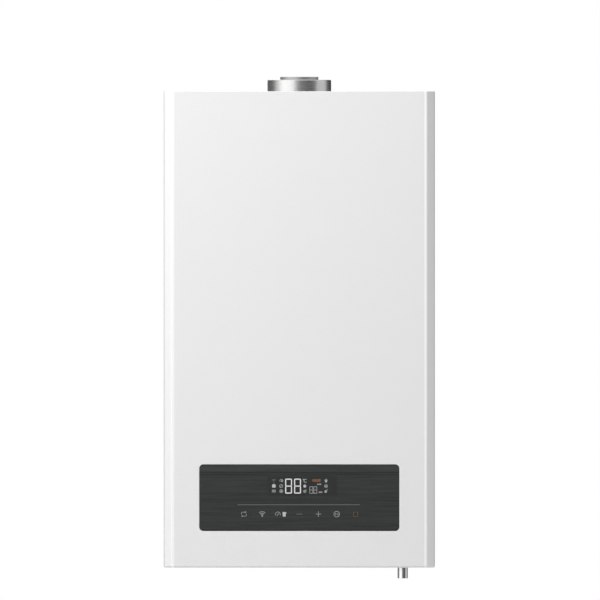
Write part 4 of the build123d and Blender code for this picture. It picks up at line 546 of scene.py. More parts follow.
for test, width, segments in (
    (upright(-1, back_y - MM), BAND, 1), (upright(-1, front_y + MM), FACE_ROLL * ROLL_RUN, 6),
    (upright(front_y + 10 * MM, back_y - MM), SIDE_ROLL * ROLL_RUN, 8), (on_rim(True), LOWER_SLANT, 1),
    (on_rim(False), UPPER_ROLL, 3),
):
    print("bevelled", roll_edges(cover, test, width, segments), "edges by", round(width, 2))

# %% Cut the underside and give the sheet its wall
lip_y = front_y + COVER["lip"] * MM
edit(cover, "FACE", lambda f: f.normal.z < -0.99)
bpy.ops.mesh.bisect(plane_co=(0, lip_y, 0), plane_no=(0, 1, 0))
close_edit()
delete_faces(cover, lambda f: f.normal.z < -0.99 and f.calc_center_median().y > lip_y)
modify(cover, "SOLIDIFY", thickness=COVER["sheet"] * MM, offset=-1, use_even_offset=True)
print("cover faces", len(cover.data.polygons))

# %% Cut the window
WINDOW_GAP = 0.5


def rounded_block(name, width, height, middle_z, radius, back, front, middle_x=0.0):
    """A slab facing the room with its four corners rounded; sizes in millimetres."""
    low = (middle_x - width / 2, -front, middle_z - height / 2)
    slab = block(name, low, (middle_x + width / 2, -back, middle_z + height / 2))
    roll_edges(slab, lambda e: abs(e.verts[0].co.y - e.verts[1].co.y) > (front - back) * MM / 2, radius, 8)
    return slab


window_w, window_h, window_r = (GLASS[key] + gap * WINDOW_GAP for key, gap in (("w", 2), ("h", 2), ("r", 1)))
cutter = rounded_block("window_cutter", window_w, window_h, GLASS["z"], window_r, 300, 330)
modify(cover, "BOOLEAN", object=cutter, solver="EXACT")
bpy.data.objects.remove(cutter)
finish_piece(cover, "cover", "white_enamel", "front_cover", angle=30)

# %% [markdown]
# ## The control glass
# A plate of glass 3 mm thick with rounded corners and an eased front edge, which catches a
# thin line of light. It sits half a millimetre inside the cover's window all round.

# %% Grind the glass
glass = rounded_block("touch_glass", *(GLASS[key] for key in ("w", "h", "z", "r", "back", "front")))
glass_y = (0.01 - GLASS["front"]) * MM
roll_edges(glass, lambda e: all(v.co.y < glass_y for v in e.verts), GLASS["ease"], 3)
finish_piece(glass, "control_unit", "black_glass", "control_glass")

# %% [markdown]
# ## Lit and printed marks on the glass
# The display's figures are lit from behind and the touch keys are printed. Both are flat
# shapes about a fifth of a millimetre proud, so they are made as thin plates standing in
# the glass's face. Lit marks glow at the grey they show; printed ones are ink with a faint
# painted glow. Words are left off, and the numbers are the generic 88 of a display with all its bars lit.

# %% Inks and lights
inks = {}
# The printed inks (print, pale print, warm print, rule) glow at 0.1 to 0.25 as well: a painted glow, since
# nothing lights them.
for key, name, colour, glow in (
    ("lit white", "lit white display bar", "bcbebd", 0.5),
    ("dim white", "dim white display mark", "8a8d8c", 0.4),
    ("faint", "faint display mark", "5a5e5c", 0.4), ("amber", "lit amber display strip", "684430", 0.33),
    ("window", "smoked display window", "1e1f1f", 0.0), ("print", "grey screen-printed ink with painted glow", "8b8f8d", 0.15),
    ("pale print", "pale screen-printed ink with painted glow", "a9acab", 0.2),
    ("warm print", "amber touch mark with painted glow", "66473b", 0.25),
    ("rule", "grey printed rule with painted glow", "606463", 0.1), ("green print", "green-grey display mark", "7f8c84", 0.4),
):
    ink = start_finish(name, colour, 0.0, 0.5, Emission_Color=linear(colour), Emission_Strength=glow)
    inks[key] = grained(ink, colour, colour, 3, (0.45, 0.55), 0.002)

# %% Helpers for flat marks
INK_BACK, INK_FRONT = 319.2, 319.6


def loop_of(name, points, fill="NGON"):
    """A circle whose points are moved to these places in millimetres, left in edit mode."""
    shape = begin(bpy.ops.mesh.primitive_circle_add, name, vertices=len(points), fill_type=fill)
    edit(shape, "FACE" if fill == "NGON" else "VERT", lambda part: True)
    mesh = bmesh.from_edit_mesh(shape.data)
    for vertex, point in zip(mesh.verts, points):
        vertex.co = Vector(point) * MM
    bmesh.update_edit_mesh(shape.data)
    return shape


def plate(corners):
    """A thin plate with this outline of (x, z) points in millimetres, standing in the glass."""
    shape = loop_of("plate", [(x, -INK_BACK, z) for x, z in corners])
    extrude_by(0, INK_BACK - INK_FRONT, 0)
    close_edit(outward=True)
    return shape


def arc_points(x, z, radius, start, end, steps):
    """Points along an arc, angles in degrees."""
    turns = [radians(start + (end - start) * i / steps) for i in range(steps + 1)]
    return [(x + radius * cos(t), z + radius * sin(t)) for t in turns]


def stroke(points, width, closed=False):
    """A line of even width along points; its ends are square."""
    left, right = [], []
    count = len(points)
    for i, (x, z) in enumerate(points):
        before = points[i - 1] if i or closed else points[i]
        after = points[(i + 1) % count] if i < count - 1 or closed else points[i]
        run = Vector((after[0] - before[0], after[1] - before[1])).normalized() * width / 2
        left.append((x - run.y, z + run.x))
        right.append((x + run.y, z - run.x))
    if not closed:
        return plate(left + right[::-1])
    half = count // 2
    first = plate(left[: half + 1] + right[: half + 1][::-1])
    return joined("ring", [first, plate(left[half:] + left[:1] + right[:1] + right[half:][::-1])])


def mark(name, colour, shapes):
    """Finishes a mark on the glass in one of the inks."""
    whole = joined(name, shapes)
    whole.data.materials.append(inks[colour])
    finish_piece(whole, "control_unit", "white_plastic")


# %% [markdown]
# ## Seven-bar figures
# Each figure has seven bars with pointed ends and cut outer corners. One bar shape is worked
# out per place, so the same function draws the large and the small pair.

# %% The two pairs of figures


def figure_bars(left, low, width, height, thick):
    """Outlines of the seven bars of an 8."""
    right, high, middle = left + width, low + height, low + height / 2
    cut, gap, half, nib = thick * 0.55, thick * 0.09, thick / 2, thick * 0.35
    bars = []
    for z0, z1 in ((low, low + thick), (high, high - thick)):
        nib_z = z0 + (z1 - z0) * 0.3
        bars.append([
            (left + cut, z0), (right - cut, z0), (right - gap - nib, nib_z),
            (right - thick - gap, z1), (left + thick + gap, z1), (left + gap + nib, nib_z)])
    bars.append([
        (left + half + gap, middle), (left + thick, middle - half), (right - thick, middle - half),
        (right - half - gap, middle), (right - thick, middle + half), (left + thick, middle + half)])
    for x0, x1 in ((left, left + thick), (right, right - thick)):
        for z0, z1 in ((low, middle), (high, middle)):
            up = 1 if z1 > z0 else -1
            bars.append([
                (x0, z0 + up * cut), (x0 + (x1 - x0) * 0.3, z0 + up * (gap + nib)),
                (x1, z0 + up * (thick + gap)), (x1, z1 - up * (half + gap)),
                ((x0 + x1) / 2, z1 - up * gap), (x0, z1 - up * (gap + half))])
    return bars


WINDOW_FRONT = 319.44
window = rounded_block("display_window", 108.0, 31.0, 127.5, 2.0, INK_BACK, WINDOW_FRONT, middle_x=5.0)
window.data.materials.append(inks["window"])
finish_piece(window, "control_unit", "black_glass")
for name, colour, places, low, size in (
    ("large_figures", "lit white", (-22.1, -8.1), 115.9, (10.7, 23.3, 1.6)),
    ("small_figures", "dim white", (15.9, 22.2), 116.0, (5.6, 11.0, 0.75)),
):
    mark(name, colour, [plate(bar) for left in places for bar in figure_bars(left, low, *size)])

# %% [markdown]
# ## Small display marks
# Round the figures stand three rows of pictograms some 6 mm high: signal, tap, radiator,
# flame and the like. Each is a few strokes and plates, kept generic.

# %% Pictograms of the display


def ring(x, z, radius, width):
    """A full circle drawn with an even line."""
    return stroke(arc_points(x, z, radius - width / 2, 0, 345, 23), width, closed=True)


def disc(x, z, radius):
    """A filled round mark."""
    return plate(arc_points(x, z, radius, 0, 345, 23))


def bar(x, z, width, height):
    """A filled upright rectangle."""
    w, h = width / 2, height / 2
    return plate([(x - w, z - h), (x + w, z - h), (x + w, z + h), (x - w, z + h)])


LEFT, SECOND, THIRD, LAST = -39.8, -28.4, 8.6, 41.8
TOP, MID, LOW = 135.9, 127.6, 119.7
mark("signal_mark", "faint", [
    stroke(arc_points(LEFT, TOP - 2.4, 4.6, 50, 130, 8), 0.7),
    stroke(arc_points(LEFT, TOP - 2.4, 2.9, 50, 130, 6), 0.7), disc(LEFT, TOP - 1.8, 0.7)])
mark("tank_mark", "pale print", [bar(LEFT, MID, 5.4, 4.6), bar(LEFT, MID + 2.9, 3.4, 0.7)])
radiator_fins = [bar(LEFT + x, LOW, 0.8, 4.2) for x in (-2.4, -0.8, 0.8, 2.4)]
mark("radiator_mark", "dim white", radiator_fins + [bar(LEFT, LOW + 1.9, 5.8, 0.7)])
mark("drop_mark", "dim white", [
    stroke(arc_points(SECOND + 0.3, TOP, 2.4, -60, 220, 14), 0.7), disc(SECOND + 0.9, TOP - 0.4, 1.2)])
mark("leaf_mark", "dim white", [
    ring(SECOND, MID, 2.9, 0.7), stroke([(SECOND - 1.6, MID - 1.6), (SECOND + 1.4, MID + 1.4)], 0.7)])
mark("fan_mark", "dim white", [ring(SECOND + 0.2, LOW, 2.9, 0.7), disc(SECOND + 0.2, LOW, 1.5)])
mark("degree_mark", "pale print", [
    ring(THIRD - 2.2, TOP + 2.2, 0.9, 0.5), stroke(arc_points(THIRD + 1.0, TOP, 2.4, 50, 310, 16), 0.8)])
flame_tip = [(THIRD - 1.6, MID + 1.4), (THIRD + 0.3, MID + 3.4), (THIRD + 1.7, MID + 1.2)]
mark("flame_mark", "pale print", [disc(THIRD, MID, 2.4), plate(flame_tip)])
mark("lock_mark", "dim white", [
    ring(THIRD, LOW - 0.3, 2.4, 0.7), disc(THIRD, LOW - 0.3, 1.0), bar(THIRD + 1.6, LOW + 2.0, 1.4, 0.7)])
tap_body = [(LAST + x, TOP + z) for x, z in ((-2.4, 1.6), (2.4, 1.6), (1.3, -2.6), (-1.3, -2.6))]
mark("tap_mark", "dim white", [plate(tap_body), bar(LAST, TOP + 2.6, 2.0, 0.7)])
mark("pump_mark", "green print", [ring(LAST, MID, 2.7, 0.8), bar(LAST, MID, 3.4, 1.4)])
mark("hand_mark", "dim white", [
    disc(LAST - 0.5, LOW - 0.6, 2.0), stroke([(LAST, LOW), (LAST + 2.4, LOW + 2.8)], 0.9)])
strip_bars = ((21.2, 2.2, 3.6), (25.0, 4.6, 4.4), (30.6, 5.4, 4.4))
mark("amber_strip", "amber", [bar(x, 136.4, width, height) for x, width, height in strip_bars])
upper_dashes = [bar(x, 130.5, 1.7, 2.2) for x in (28.8, 31.1, 33.4)]
mark("small_dashes", "print", upper_dashes + [bar(x, 118.0, 1.5, 2.4) for x in (31.2, 33.2, 35.2)])

# %% [markdown]
# ## Rule and touch keys
# A thin grey rule parts the display from the seven touch places under it. The keys don't
# travel: they are only printed marks over sensors behind the glass.

# %% Touch marks
KEY_Z = 83.6
BAR_Z = KEY_Z + 0.2
mark("rule_line", "rule", [bar(-0.9, 98.4, 191.2, 0.9)])
mark("cycle_key", "print", [
    stroke(
        [(-90.4, KEY_Z - 0.8), *arc_points(-89.4, KEY_Z + 2.2, 1.0, 180, 90, 4), (-84.6, KEY_Z + 3.2)], 0.7),
    stroke(
        [(-82.8, KEY_Z + 1.0), *arc_points(-83.8, KEY_Z - 2.0, 1.0, 0, -90, 4), (-88.6, KEY_Z - 3.0)], 0.7),
    plate([(-85.2, KEY_Z + 4.7), (-82.4, KEY_Z + 3.2), (-85.2, KEY_Z + 1.7)]),
    plate([(-88.2, KEY_Z - 4.5), (-91.0, KEY_Z - 3.0), (-88.2, KEY_Z - 1.5)])])
arcs = ((7.4, 10), (5.0, 8), (2.7, 6))
waves = [stroke(arc_points(-58, KEY_Z - 3.4, radius, 50, 130, steps), 0.9) for radius, steps in arcs]
mark("signal_key", "print", waves + [disc(-58, KEY_Z - 2.9, 1.1)])
mark("gauge_key", "print", [
    stroke(arc_points(-33.6, KEY_Z - 0.4, 3.9, -20, 200, 14), 0.8),
    stroke([(-34.4, KEY_Z - 1.4), (-32.0, KEY_Z + 1.2)], 0.8), disc(-34.4, KEY_Z - 1.2, 0.9)])
tub = [(-26.2, KEY_Z + 3.4), (-21.2, KEY_Z + 3.4), (-21.4, KEY_Z - 3.6), (-25.8, KEY_Z - 3.6)]
mark("tub_key", "pale print", [plate(tub), bar(-20.6, KEY_Z + 1.9, 0.8, 2.2)])
mark("minus_key", "rule", [bar(0.0, BAR_Z, 9.2, 0.9)])
plus = [bar(30.0, BAR_Z, 8.6, 0.8), *(bar(30.0, BAR_Z + z, 0.8, 3.8) for z in (2.3, -2.3))]
mark("plus_key", "print", plus)
posts = [stroke([(x, KEY_Z + 2.0), (x, KEY_Z - 1.6)], 0.7) for x in (56.6, 60.6)]
mark("ring_key", "print", [ring(58.6, BAR_Z, 4.8, 0.9), *posts, bar(58.6, BAR_Z, 3.4, 0.6)])
frame_line = [(84.6, KEY_Z + 3.6), (84.6, KEY_Z - 3.4), (91.4, KEY_Z - 3.4), (91.4, KEY_Z + 3.6)]
top_dashes = [bar(x, KEY_Z + 3.4, 2.0, 0.7) for x in (86.0, 90.0)]
mark("power_key", "warm print", [stroke(frame_line, 0.7), *top_dashes])

# %% [markdown]
# ## Turned and rolled round pieces
# The flue rings, pipe ends, nipples and knobs are all round, so each is an outline spun round
# its axis. The outline starts as a circle whose points are set one by one; a wall's outline
# closes on itself and a solid's ends on the axis. Spinning can turn a shape inside out, so
# its faces are set outwards at the end.

# %% Helpers for spun pieces
TO_ROOM = (0, -1, 0)


def spun(name, outline, centre=(0, 0, 0), axis=(0, 0, 1), closed=True, steps=72):
    """Spins (radius, distance along the axis) points in millimetres round an axis."""
    middle, line = Vector(centre), Vector(axis)
    points = [middle + Vector((radius, 0, 0)) + line * along for radius, along in outline]
    piece = loop_of(name, points, fill="NOTHING")
    if not closed:
        mesh = bmesh.from_edit_mesh(piece.data)
        last = [e for e in mesh.edges if {v.index for v in e.verts} == {0, len(outline) - 1}]
        bmesh.ops.delete(mesh, geom=last, context="EDGES_FACES")
        bmesh.update_edit_mesh(piece.data)
    bpy.ops.mesh.select_all(action="SELECT")
    bpy.ops.mesh.spin(steps=steps, angle=2 * pi, center=middle * MM, axis=line)
    close_edit(outward=True)
    return piece


def corner(radius, along, size, start, steps=4):
    """Points of a rounded corner of an outline; start is its first angle in degrees."""
    return arc_points(radius, along, size, start, start + 90, steps)


# %% [markdown]
# ## The air collar
# The outer ring takes the 100 mm air duct. It is 1 mm sheet rolled to a cylinder. Its top
# edge is folded in and down to a hem of double thickness, whose soft rim catches the light,
# and its foot is a flat flange on the chamber's seal.

# %% Roll the collar
flue_y = sum(end.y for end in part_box("flue_collar")) / 2 / MM
collar_outline = [
    (49.0, 727.0), (62.0, 727.0), *corner(61.6, 728.1, 0.4, 0), (52.2, 728.5), (50.6, 730.1), (50.6, 744.6),
    (50.0, 745.2), *corner(48.8, 762.6, 1.2, 0, 8), *corner(48.5, 763.3, 0.5, 90),
    (48.0, 756.0), (49.0, 755.0),
]
collar = spun("air_collar", collar_outline, (0, flue_y, 0), steps=120)
finish_piece(collar, "boiler", "stainless_steel", "flue_collar", angle=50)

# %% [markdown]
# ## The gas spigot
# Inside it the 60 mm flue pipe stands 5 mm higher. Below, it widens and turns from round to
# the fan's rectangular outlet. So the round tube is spun first, and its lowest ring of points
# is extruded down and pulled out to the rectangle.

# %% Draw the spigot down to the fan's outlet
DUCT = {"r": 30.0, "wide": 30.6, "step": 744.6, "cone": 722.0, "foot": 700.0, "wall": 1.0}
OUTLET_W, OUTLET_D = 48.0, 44.0
duct_outline = [
    (DUCT["wide"], DUCT["cone"]), (DUCT["wide"], DUCT["step"]), (DUCT["r"], DUCT["step"] + 0.8),
    *corner(DUCT["r"] - 0.6, 768.2, 0.6, 0, 5),
]
duct = spun("gas_spigot", duct_outline, (0, flue_y, 0), closed=False, steps=96)
edit(duct, "EDGE", lambda e: all(v.co.z < (DUCT["cone"] + 0.1) * MM for v in e.verts))
bpy.ops.mesh.extrude_edges_move(TRANSFORM_OT_translate={"value": (0, 0, (DUCT["foot"] - DUCT["cone"]) * MM)})
mesh = bmesh.from_edit_mesh(duct.data)
for vertex in mesh.verts:
    if vertex.co.z < (DUCT["foot"] + 0.1) * MM:
        x, y = vertex.co.x, vertex.co.y - flue_y * MM
        reach = max(abs(x) / (OUTLET_W / 2), abs(y) / (OUTLET_D / 2)) / MM
        vertex.co.x, vertex.co.y = x / reach, flue_y * MM + y / reach
bmesh.update_edit_mesh(duct.data)
close_edit(outward=True)
modify(duct, "SOLIDIFY", thickness=DUCT["wall"] * MM, offset=-1)
duct.data.materials.append(finishes["flue_tube"])
finish_piece(duct, "boiler", "stainless_steel", "flue_duct", angle=40)

# %% [markdown]
# ## The discharge pipe
# A thin polished pipe shows under the casing at the right. It is cut square with a small
# chamfer inside and out, and slims a little where it enters the safety valve.

# %% Cut the discharge pipe
RELIEF_X, RELIEF_Y, PIPE_END, PIPE_STEP, PIPE_TOP = 162.4, -112.0, -18.8, 20.0, 60.0
PIPE_R, PIPE_SLIM, PIPE_BORE, CHAMFER = 8.0, 7.4, 6.4, 0.4
pipe_outline = [
    (PIPE_BORE, PIPE_END + CHAMFER), (PIPE_BORE + CHAMFER, PIPE_END), (PIPE_R - CHAMFER, PIPE_END),
    (PIPE_R, PIPE_END + CHAMFER), (PIPE_R, PIPE_STEP - 0.6), (PIPE_SLIM, PIPE_STEP), (PIPE_SLIM, PIPE_TOP),
    (PIPE_BORE, PIPE_TOP),
]
discharge = spun("discharge_tube", pipe_outline, (RELIEF_X, RELIEF_Y, 0), steps=64)
finish_piece(discharge, "boiler", "polished_steel", "discharge_pipe", angle=40)

# %% [markdown]
# ## Threaded nipples
# Five brass nipples stand under the tray. Their G threads have 14 turns to the inch, so the
# crests are 1.81 mm apart. At this size each turn is drawn as its own ridge, which looks the
# same as a helix and spins cleanly.

# %% Turn the nipples
PITCH = 25.4 / 14
PORT_Y, PORT_LOW, TRAY, BLOCK_LOW = -95.0, 4.0, 22.0, 30.0
PORT_PITCH, HALF_INCH, THREE_QUARTER = 65, 10.48, 13.22


def nipple_outline(crest):
    """Bore, threaded outside and smooth neck of one nipple."""
    root, bore, neck = crest - 1.1, crest - 4.0, crest - 2.0
    ridges = []
    low = PORT_LOW + 0.8
    while low + PITCH < TRAY - 1.0:
        ridge = ((root, 0), (crest, 0.35), (crest, 0.6), (root, 0.95))
        ridges += [(radius, low + PITCH * share) for radius, share in ridge]
        low += PITCH
    return [
        (bore, PORT_LOW), (root, PORT_LOW), *ridges, (root, TRAY - 1.6), (crest, TRAY - 1.2), (crest, TRAY),
        (neck, TRAY), (neck, BLOCK_LOW), (bore, BLOCK_LOW)]


crests = enumerate((THREE_QUARTER, HALF_INCH, THREE_QUARTER, HALF_INCH, THREE_QUARTER), start=-2)
nipples = [spun("nipple", nipple_outline(r), (i * PORT_PITCH, PORT_Y, 0), steps=48) for i, r in crests]
finish_piece(joined("threaded_nipples", nipples), "boiler", "brass", "connection_nipples", angle=20)

# %% [markdown]
# ## Knobs
# Small hand knobs are moulded with a milled edge. A toothed prism is the real form: a circle
# whose points lie in turn on two radii, extruded, with its rims eased.

# %% Mould the knobs
FILL_X, FILL_Y, STEM_R, STEM_TOP = 98, -135, 4.0, 42
SLEEVE_BORE, SLEEVE_TOP, GRIP_LOW = 5.05, 101.0, 102.6


def milled(x, y, low, high, radius, teeth, depth=0.7):
    """A round knob with a milled edge, standing upright; sizes in millimetres."""
    points = []
    for i in range(teeth * 4):
        reach, turn = radius - (depth if i % 4 < 2 else 0), 2 * pi * i / (teeth * 4)
        points.append((x + reach * cos(turn), y + reach * sin(turn), low))
    knob = loop_of("knob", points)
    extrude_by(0, 0, high - low)
    close_edit(outward=True)
    roll_edges(knob, lambda e: abs(e.verts[0].co.z - e.verts[1].co.z) < 1e-6, 0.5, 2)
    return knob


fill_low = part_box("filling_valve_knob")[0].z / MM
stem = [
    (0, fill_low + 11), (STEM_R, fill_low + 11), (STEM_R, STEM_TOP - 0.4),
    (STEM_R - 0.4, STEM_TOP), (0, STEM_TOP),
]
filling_knob = joined("filling_knob_milled", [
    milled(FILL_X, FILL_Y, fill_low, fill_low + 12, 10.9, 18),
    spun("stem", stem, (FILL_X, FILL_Y, 0), closed=False, steps=24)])
finish_piece(filling_knob, "filling_knob", "blue_plastic", "filling_valve_knob")

relief_low, relief_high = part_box("safety_valve_knob")
relief_r = (relief_high.x - relief_low.x) / 2 / MM
foot_z, sleeve_r = relief_low.z / MM, relief_r - 1.5
sleeve = [(SLEEVE_BORE, foot_z), (sleeve_r, foot_z), (sleeve_r, SLEEVE_TOP), (SLEEVE_BORE, SLEEVE_TOP)]
relief_knob = joined("relief_knob_milled", [
    spun("sleeve", sleeve, (RELIEF_X, RELIEF_Y, 0), steps=40),
    milled(RELIEF_X, RELIEF_Y, GRIP_LOW, relief_high.z / MM, relief_r - 0.1, 12, depth=1.2)])
finish_piece(relief_knob, "relief_knob", "red_plastic", "safety_valve_knob")

# %% [markdown]
# ## Eased twins of the inner pieces
# Behind the cover stand castings, drawn tubes and pressed sheets whose CAD solids have the
# right form but knife-sharp edges and a mesh of loose triangles. Each gets a twin: a copy of
# that mesh, merged, freed of the lines across its flat faces, and rolled over at its sharp
# edges by the radius such a piece has, from 0.2 mm on cut sheet to 0.9 mm on castings. Those
# edges then catch a line of light, as real ones do.

# %% Ease the edges
EASED = {
    0.2: "bottom_plate control_box_lid chamber_panel exchanger_casing combustion_chamber flue_hood"
         " burner_frame electrodes control_box_brackets",
    0.3: "burner_blades plate_heat_exchanger sight_glass cable_gland flow_turbine diverter_spindle"
         " exchanger_headers pressure_switch_tubes chamber_panel_screws gas_manifold",
    0.4: "fan_casing fan_impeller air_pressure_switch ignition_transformer pump_impeller safety_valve"
         " flow_pipe return_pipe gas_pipe expansion_hose pressure_sensor",
    0.6: "control_box fan_motor diverter_actuator air_vent insulation_boards chamber_gasket collar_seal",
    0.9: "gas_valve flow_block return_block pump_body pump_motor expansion_vessel",
}
SHARP = 40


def eased(node, radius):
    """A twin of a CAD node with its sharp edges rolled over; sizes in millimetres."""
    twin = bpy.data.objects.new(node + "_eased", frame["nodes"][node].data.copy())
    bpy.context.scene.collection.objects.link(twin)
    edit(twin, "FACE", lambda f: True)
    bpy.ops.mesh.remove_doubles(threshold=0.005 * MM)
    bpy.ops.mesh.dissolve_limited(angle_limit=radians(0.5))
    close_edit()
    modify(twin, "BEVEL", width=radius * MM, segments=2, limit_method="ANGLE", angle_limit=radians(SHARP))
    finish_piece(twin, bodies[node], slots[node], node, angle=SHARP)


for radius, nodes in EASED.items():
    for node in nodes.split():
        eased(node, radius)

# %% [markdown]
# ## The cover's seal
# A strip of soft rubber foam is stuck to the casing's front edge, up both sides and along
# the top. It keeps the cover from rattling, and no light passes through the seam. It lies
# just inside the cover's sheet, so it stays clear when the cover comes off.

# %% Foam strips
seam = -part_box("left_side_panel")[0].y / MM
SEAL_X, SEAL_Z, SEAL_W, SEAL_T = 209.2, 742.0, 5.5, 2.4
SIDE_LOW, SIDE_HIGH = 14.0, 728.0


def fix(name, shapes, node):
    """Finishes shapes as one fixed piece on the boiler, in the finish of a CAD node."""
    finish_piece(joined(name, shapes), "boiler", slots[node])


def soft_slab(low, high, face, roll, segments):
    """A slab whose edges towards the room are rolled; face is a depth behind its front."""
    slab = block("slab", low, high)
    roll_edges(slab, lambda e: all(v.co.y < -face * MM for v in e.verts), roll, segments)
    return slab


strips = [
    soft_slab((x0, -seam - SEAL_T, z0), (x1, 0.2 - seam, z1), seam + 1, 1.4, 4)
    for x0, z0, x1, z1 in (
        (-SEAL_X, SIDE_LOW, SEAL_W - SEAL_X, SIDE_HIGH), (SEAL_X - SEAL_W, SIDE_LOW, SEAL_X, SIDE_HIGH),
        (-SEAL_X, SEAL_Z - SEAL_W, SEAL_X, SEAL_Z),
    )
]
fix("cover_seal", strips, "chamber_gasket")

# %% [markdown]
# ## Beads, flanges and screws round the fire
# The sheets round the fire are stiffened by long beads pressed from inside and joined by
# flanges with hex-head screws. One bead and one screw are modelled, the bead as a rounded
# slab with soft flanks and the screw as a six-sided head on a round washer, and both are
# copied along the sheets.

# %% Bead, flange and screw
fire_face = -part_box("combustion_chamber")[0].y / MM
exchanger_zs = [end.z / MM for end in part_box("exchanger_casing")]
BEAD = {"length": 184, "width": 10, "end_r": 4.6, "height": 2.0, "flank": 1.8}
FLANGE_W, FLANGE_H, FLANGE_T = 224, 9, 1.4
FIRE_BEADS, BEAD_IN, SCREW_STEP = (392, 420, 448), 19, 51


def copied(model, places):
    """Copies of a model, each with its own mesh, at (x, depth, z, turn) in millimetres and degrees."""
    twins = []
    for x, depth, z, turn in places:
        twin = bpy.data.objects.new(model.name, model.data.copy())
        shift = Matrix.Translation(Vector((x, -depth, z)) * MM)
        twin.data.transform(shift @ Matrix.Rotation(radians(turn), 4, "Y"))
        bpy.context.scene.collection.objects.link(twin)
        twins.append(twin)
    bpy.data.objects.remove(model)
    return twins


def turned(name, *rounds):
    """Solids spun round one axis that points to the room, each from an outline and its steps."""
    return joined(name, [spun(name, outline, axis=TO_ROOM, closed=False, steps=n) for outline, n in rounds])


def screw(size):
    """A hex-head screw with its washer at the origin, facing the room; size is its head's reach."""
    head = [(0, 0.6), (size, 0.6), (size, 0.6 * size), (size - 0.5, 0.7 * size), (0, 0.7 * size)]
    washer = [(0, -0.2), (1.3 * size, -0.2), (1.3 * size, 0.5), (1.2 * size, 0.7), (0, 0.7)]
    return turned("screw", (head, 6), (washer, 28))


bead = rounded_block("bead", BEAD["length"], BEAD["width"], 0, BEAD["end_r"], -0.2, BEAD["height"])
roll_edges(bead, lambda e: all(v.co.y < (0.1 - BEAD["height"]) * MM for v in e.verts), BEAD["flank"], 4)
bead_zs = (*FIRE_BEADS, exchanger_zs[0] + BEAD_IN, exchanger_zs[1] - BEAD_IN)
beads = copied(bead, [(0, fire_face, z, 0) for z in bead_zs])
fix("firebox_beads", beads[:3], "combustion_chamber")
fix("exchanger_beads", beads[3:], "exchanger_casing")
flange_front = fire_face + FLANGE_T
flanges = [
    rounded_block("flange", FLANGE_W, FLANGE_H, z, 1.2, fire_face - 0.2, flange_front) for z in exchanger_zs
]
fix("sheet_flanges", flanges, "flue_hood")
# A screw stops at whatever turn is tight, so each head is turned by its own angle.
fixings = [(i * SCREW_STEP, flange_front, z, 7 * i * SCREW_STEP) for z in exchanger_zs for i in range(-2, 3)]
fix("flange_screws", copied(screw(3.6), fixings), "chamber_panel_screws")

# %% [markdown]
# ## Ribs, boxes and caps on the motors, valve and water blocks
# Motors shed heat through ribs along their bodies, and the moulded water blocks are made
# stiff by ribs that cross their faces. A rib is a thin slab with a rounded front, copied
# round the motor's axis or along the block. The pump has its terminal box on top, and each
# of the valve's coils ends in a cap with a nut.

# %% Motor ribs
FAN_AXIS, PUMP_AXIS = (-50, 640), (118, 186)


def ribs_round(name, node, axis, reach, depths, count, thick, height):
    """Ribs copied round a motor's axis, from its surface outwards, between two depths."""
    rib = block("rib", (reach - 0.5, -depths[1], -thick / 2), (reach + height, -depths[0], thick / 2))
    roll_edges(rib, lambda e: all(v.co.x > reach * MM for v in e.verts), 0.6, 2)
    fix(name, copied(rib, [(axis[0], 0, axis[1], 360 * i / count) for i in range(count)]), node)


ribs_round("fan_motor_ribs", "fan_motor", FAN_AXIS, 33, (195, 227), 20, 1.8, 3.0)
ribs_round("pump_motor_ribs", "pump_motor", PUMP_AXIS, 40, (162, 208), 32, 1.6, 1.8)

# %% Motor ends and screws
FAN_RIM, FAN_RIM_R, PUMP_SEAT, PUMP_SEAT_IN = 192, 36, 144, 36
fan_end = [(28, 229.9), (28, 231), (24, 231), (23.5, 230.4), (20, 230.4), (19.5, 231), (17, 231), (17, 229.9)]
pump_end = [(36, 211.9), (36, 213.5), (35, 214), (25, 214), (24, 213), (12, 213), (12, 211.9)]
for node, outline, (x, z) in (("fan_motor", fan_end, FAN_AXIS), ("pump_motor", pump_end, PUMP_AXIS)):
    fix(node + "_end", [spun("end", outline, (x, 0, z), TO_ROOM)], node)
sides = (-PUMP_SEAT_IN, PUMP_SEAT_IN)
places = [(PUMP_AXIS[0] + x, PUMP_SEAT, PUMP_AXIS[1] + z, 11 * x) for x in sides for z in sides]
for turn in (18, 162, 270):
    x, z = (FAN_RIM_R * part(radians(turn)) for part in (cos, sin))
    places.append((FAN_AXIS[0] + x, FAN_RIM, FAN_AXIS[1] + z, turn))
fix("motor_screws", copied(screw(2.9), places), "chamber_panel_screws")

# %% Terminal box, coil caps and plugs
COIL_X, COIL_Z, COIL_FACE, PLUG_FOOT, PLUG_UP = 17, 84, 192, 168, 18
box = block("terminal_box", (94, -204, 224), (142, -166, 248))
stepped_top(box, 1.2, 3)
roll_edges(box, lambda e: e.calc_face_angle(0) > radians(60), 1.0, 3)
fix("terminal_box", [box], "control_box")
cap = [(0, -0.5), (12.6, -0.5), (12.6, 1.6), (11.6, 2.4), (0, 2.4)]
nut = [(0, 2.2), (4.6, 2.2), (4.6, 5.0), (4.1, 5.5), (0, 5.5)]
coil_cap = turned("coil_cap", (cap, 48), (nut, 6))
cap_places = [(x, COIL_FACE, COIL_Z, 15) for x in (-COIL_X, COIL_X)]
fix("coil_caps", copied(coil_cap, cap_places), "chamber_panel_screws")
plug = rounded_block("coil_plug", 13, 11, 0, 1.6, 0, 15)
stepped_top(plug, 1.5, 3.5)
plug_places = [(x, PLUG_FOOT, COIL_Z + PLUG_UP, 0) for x in (-COIL_X, COIL_X)]
fix("coil_plugs", copied(plug, plug_places), "control_box")

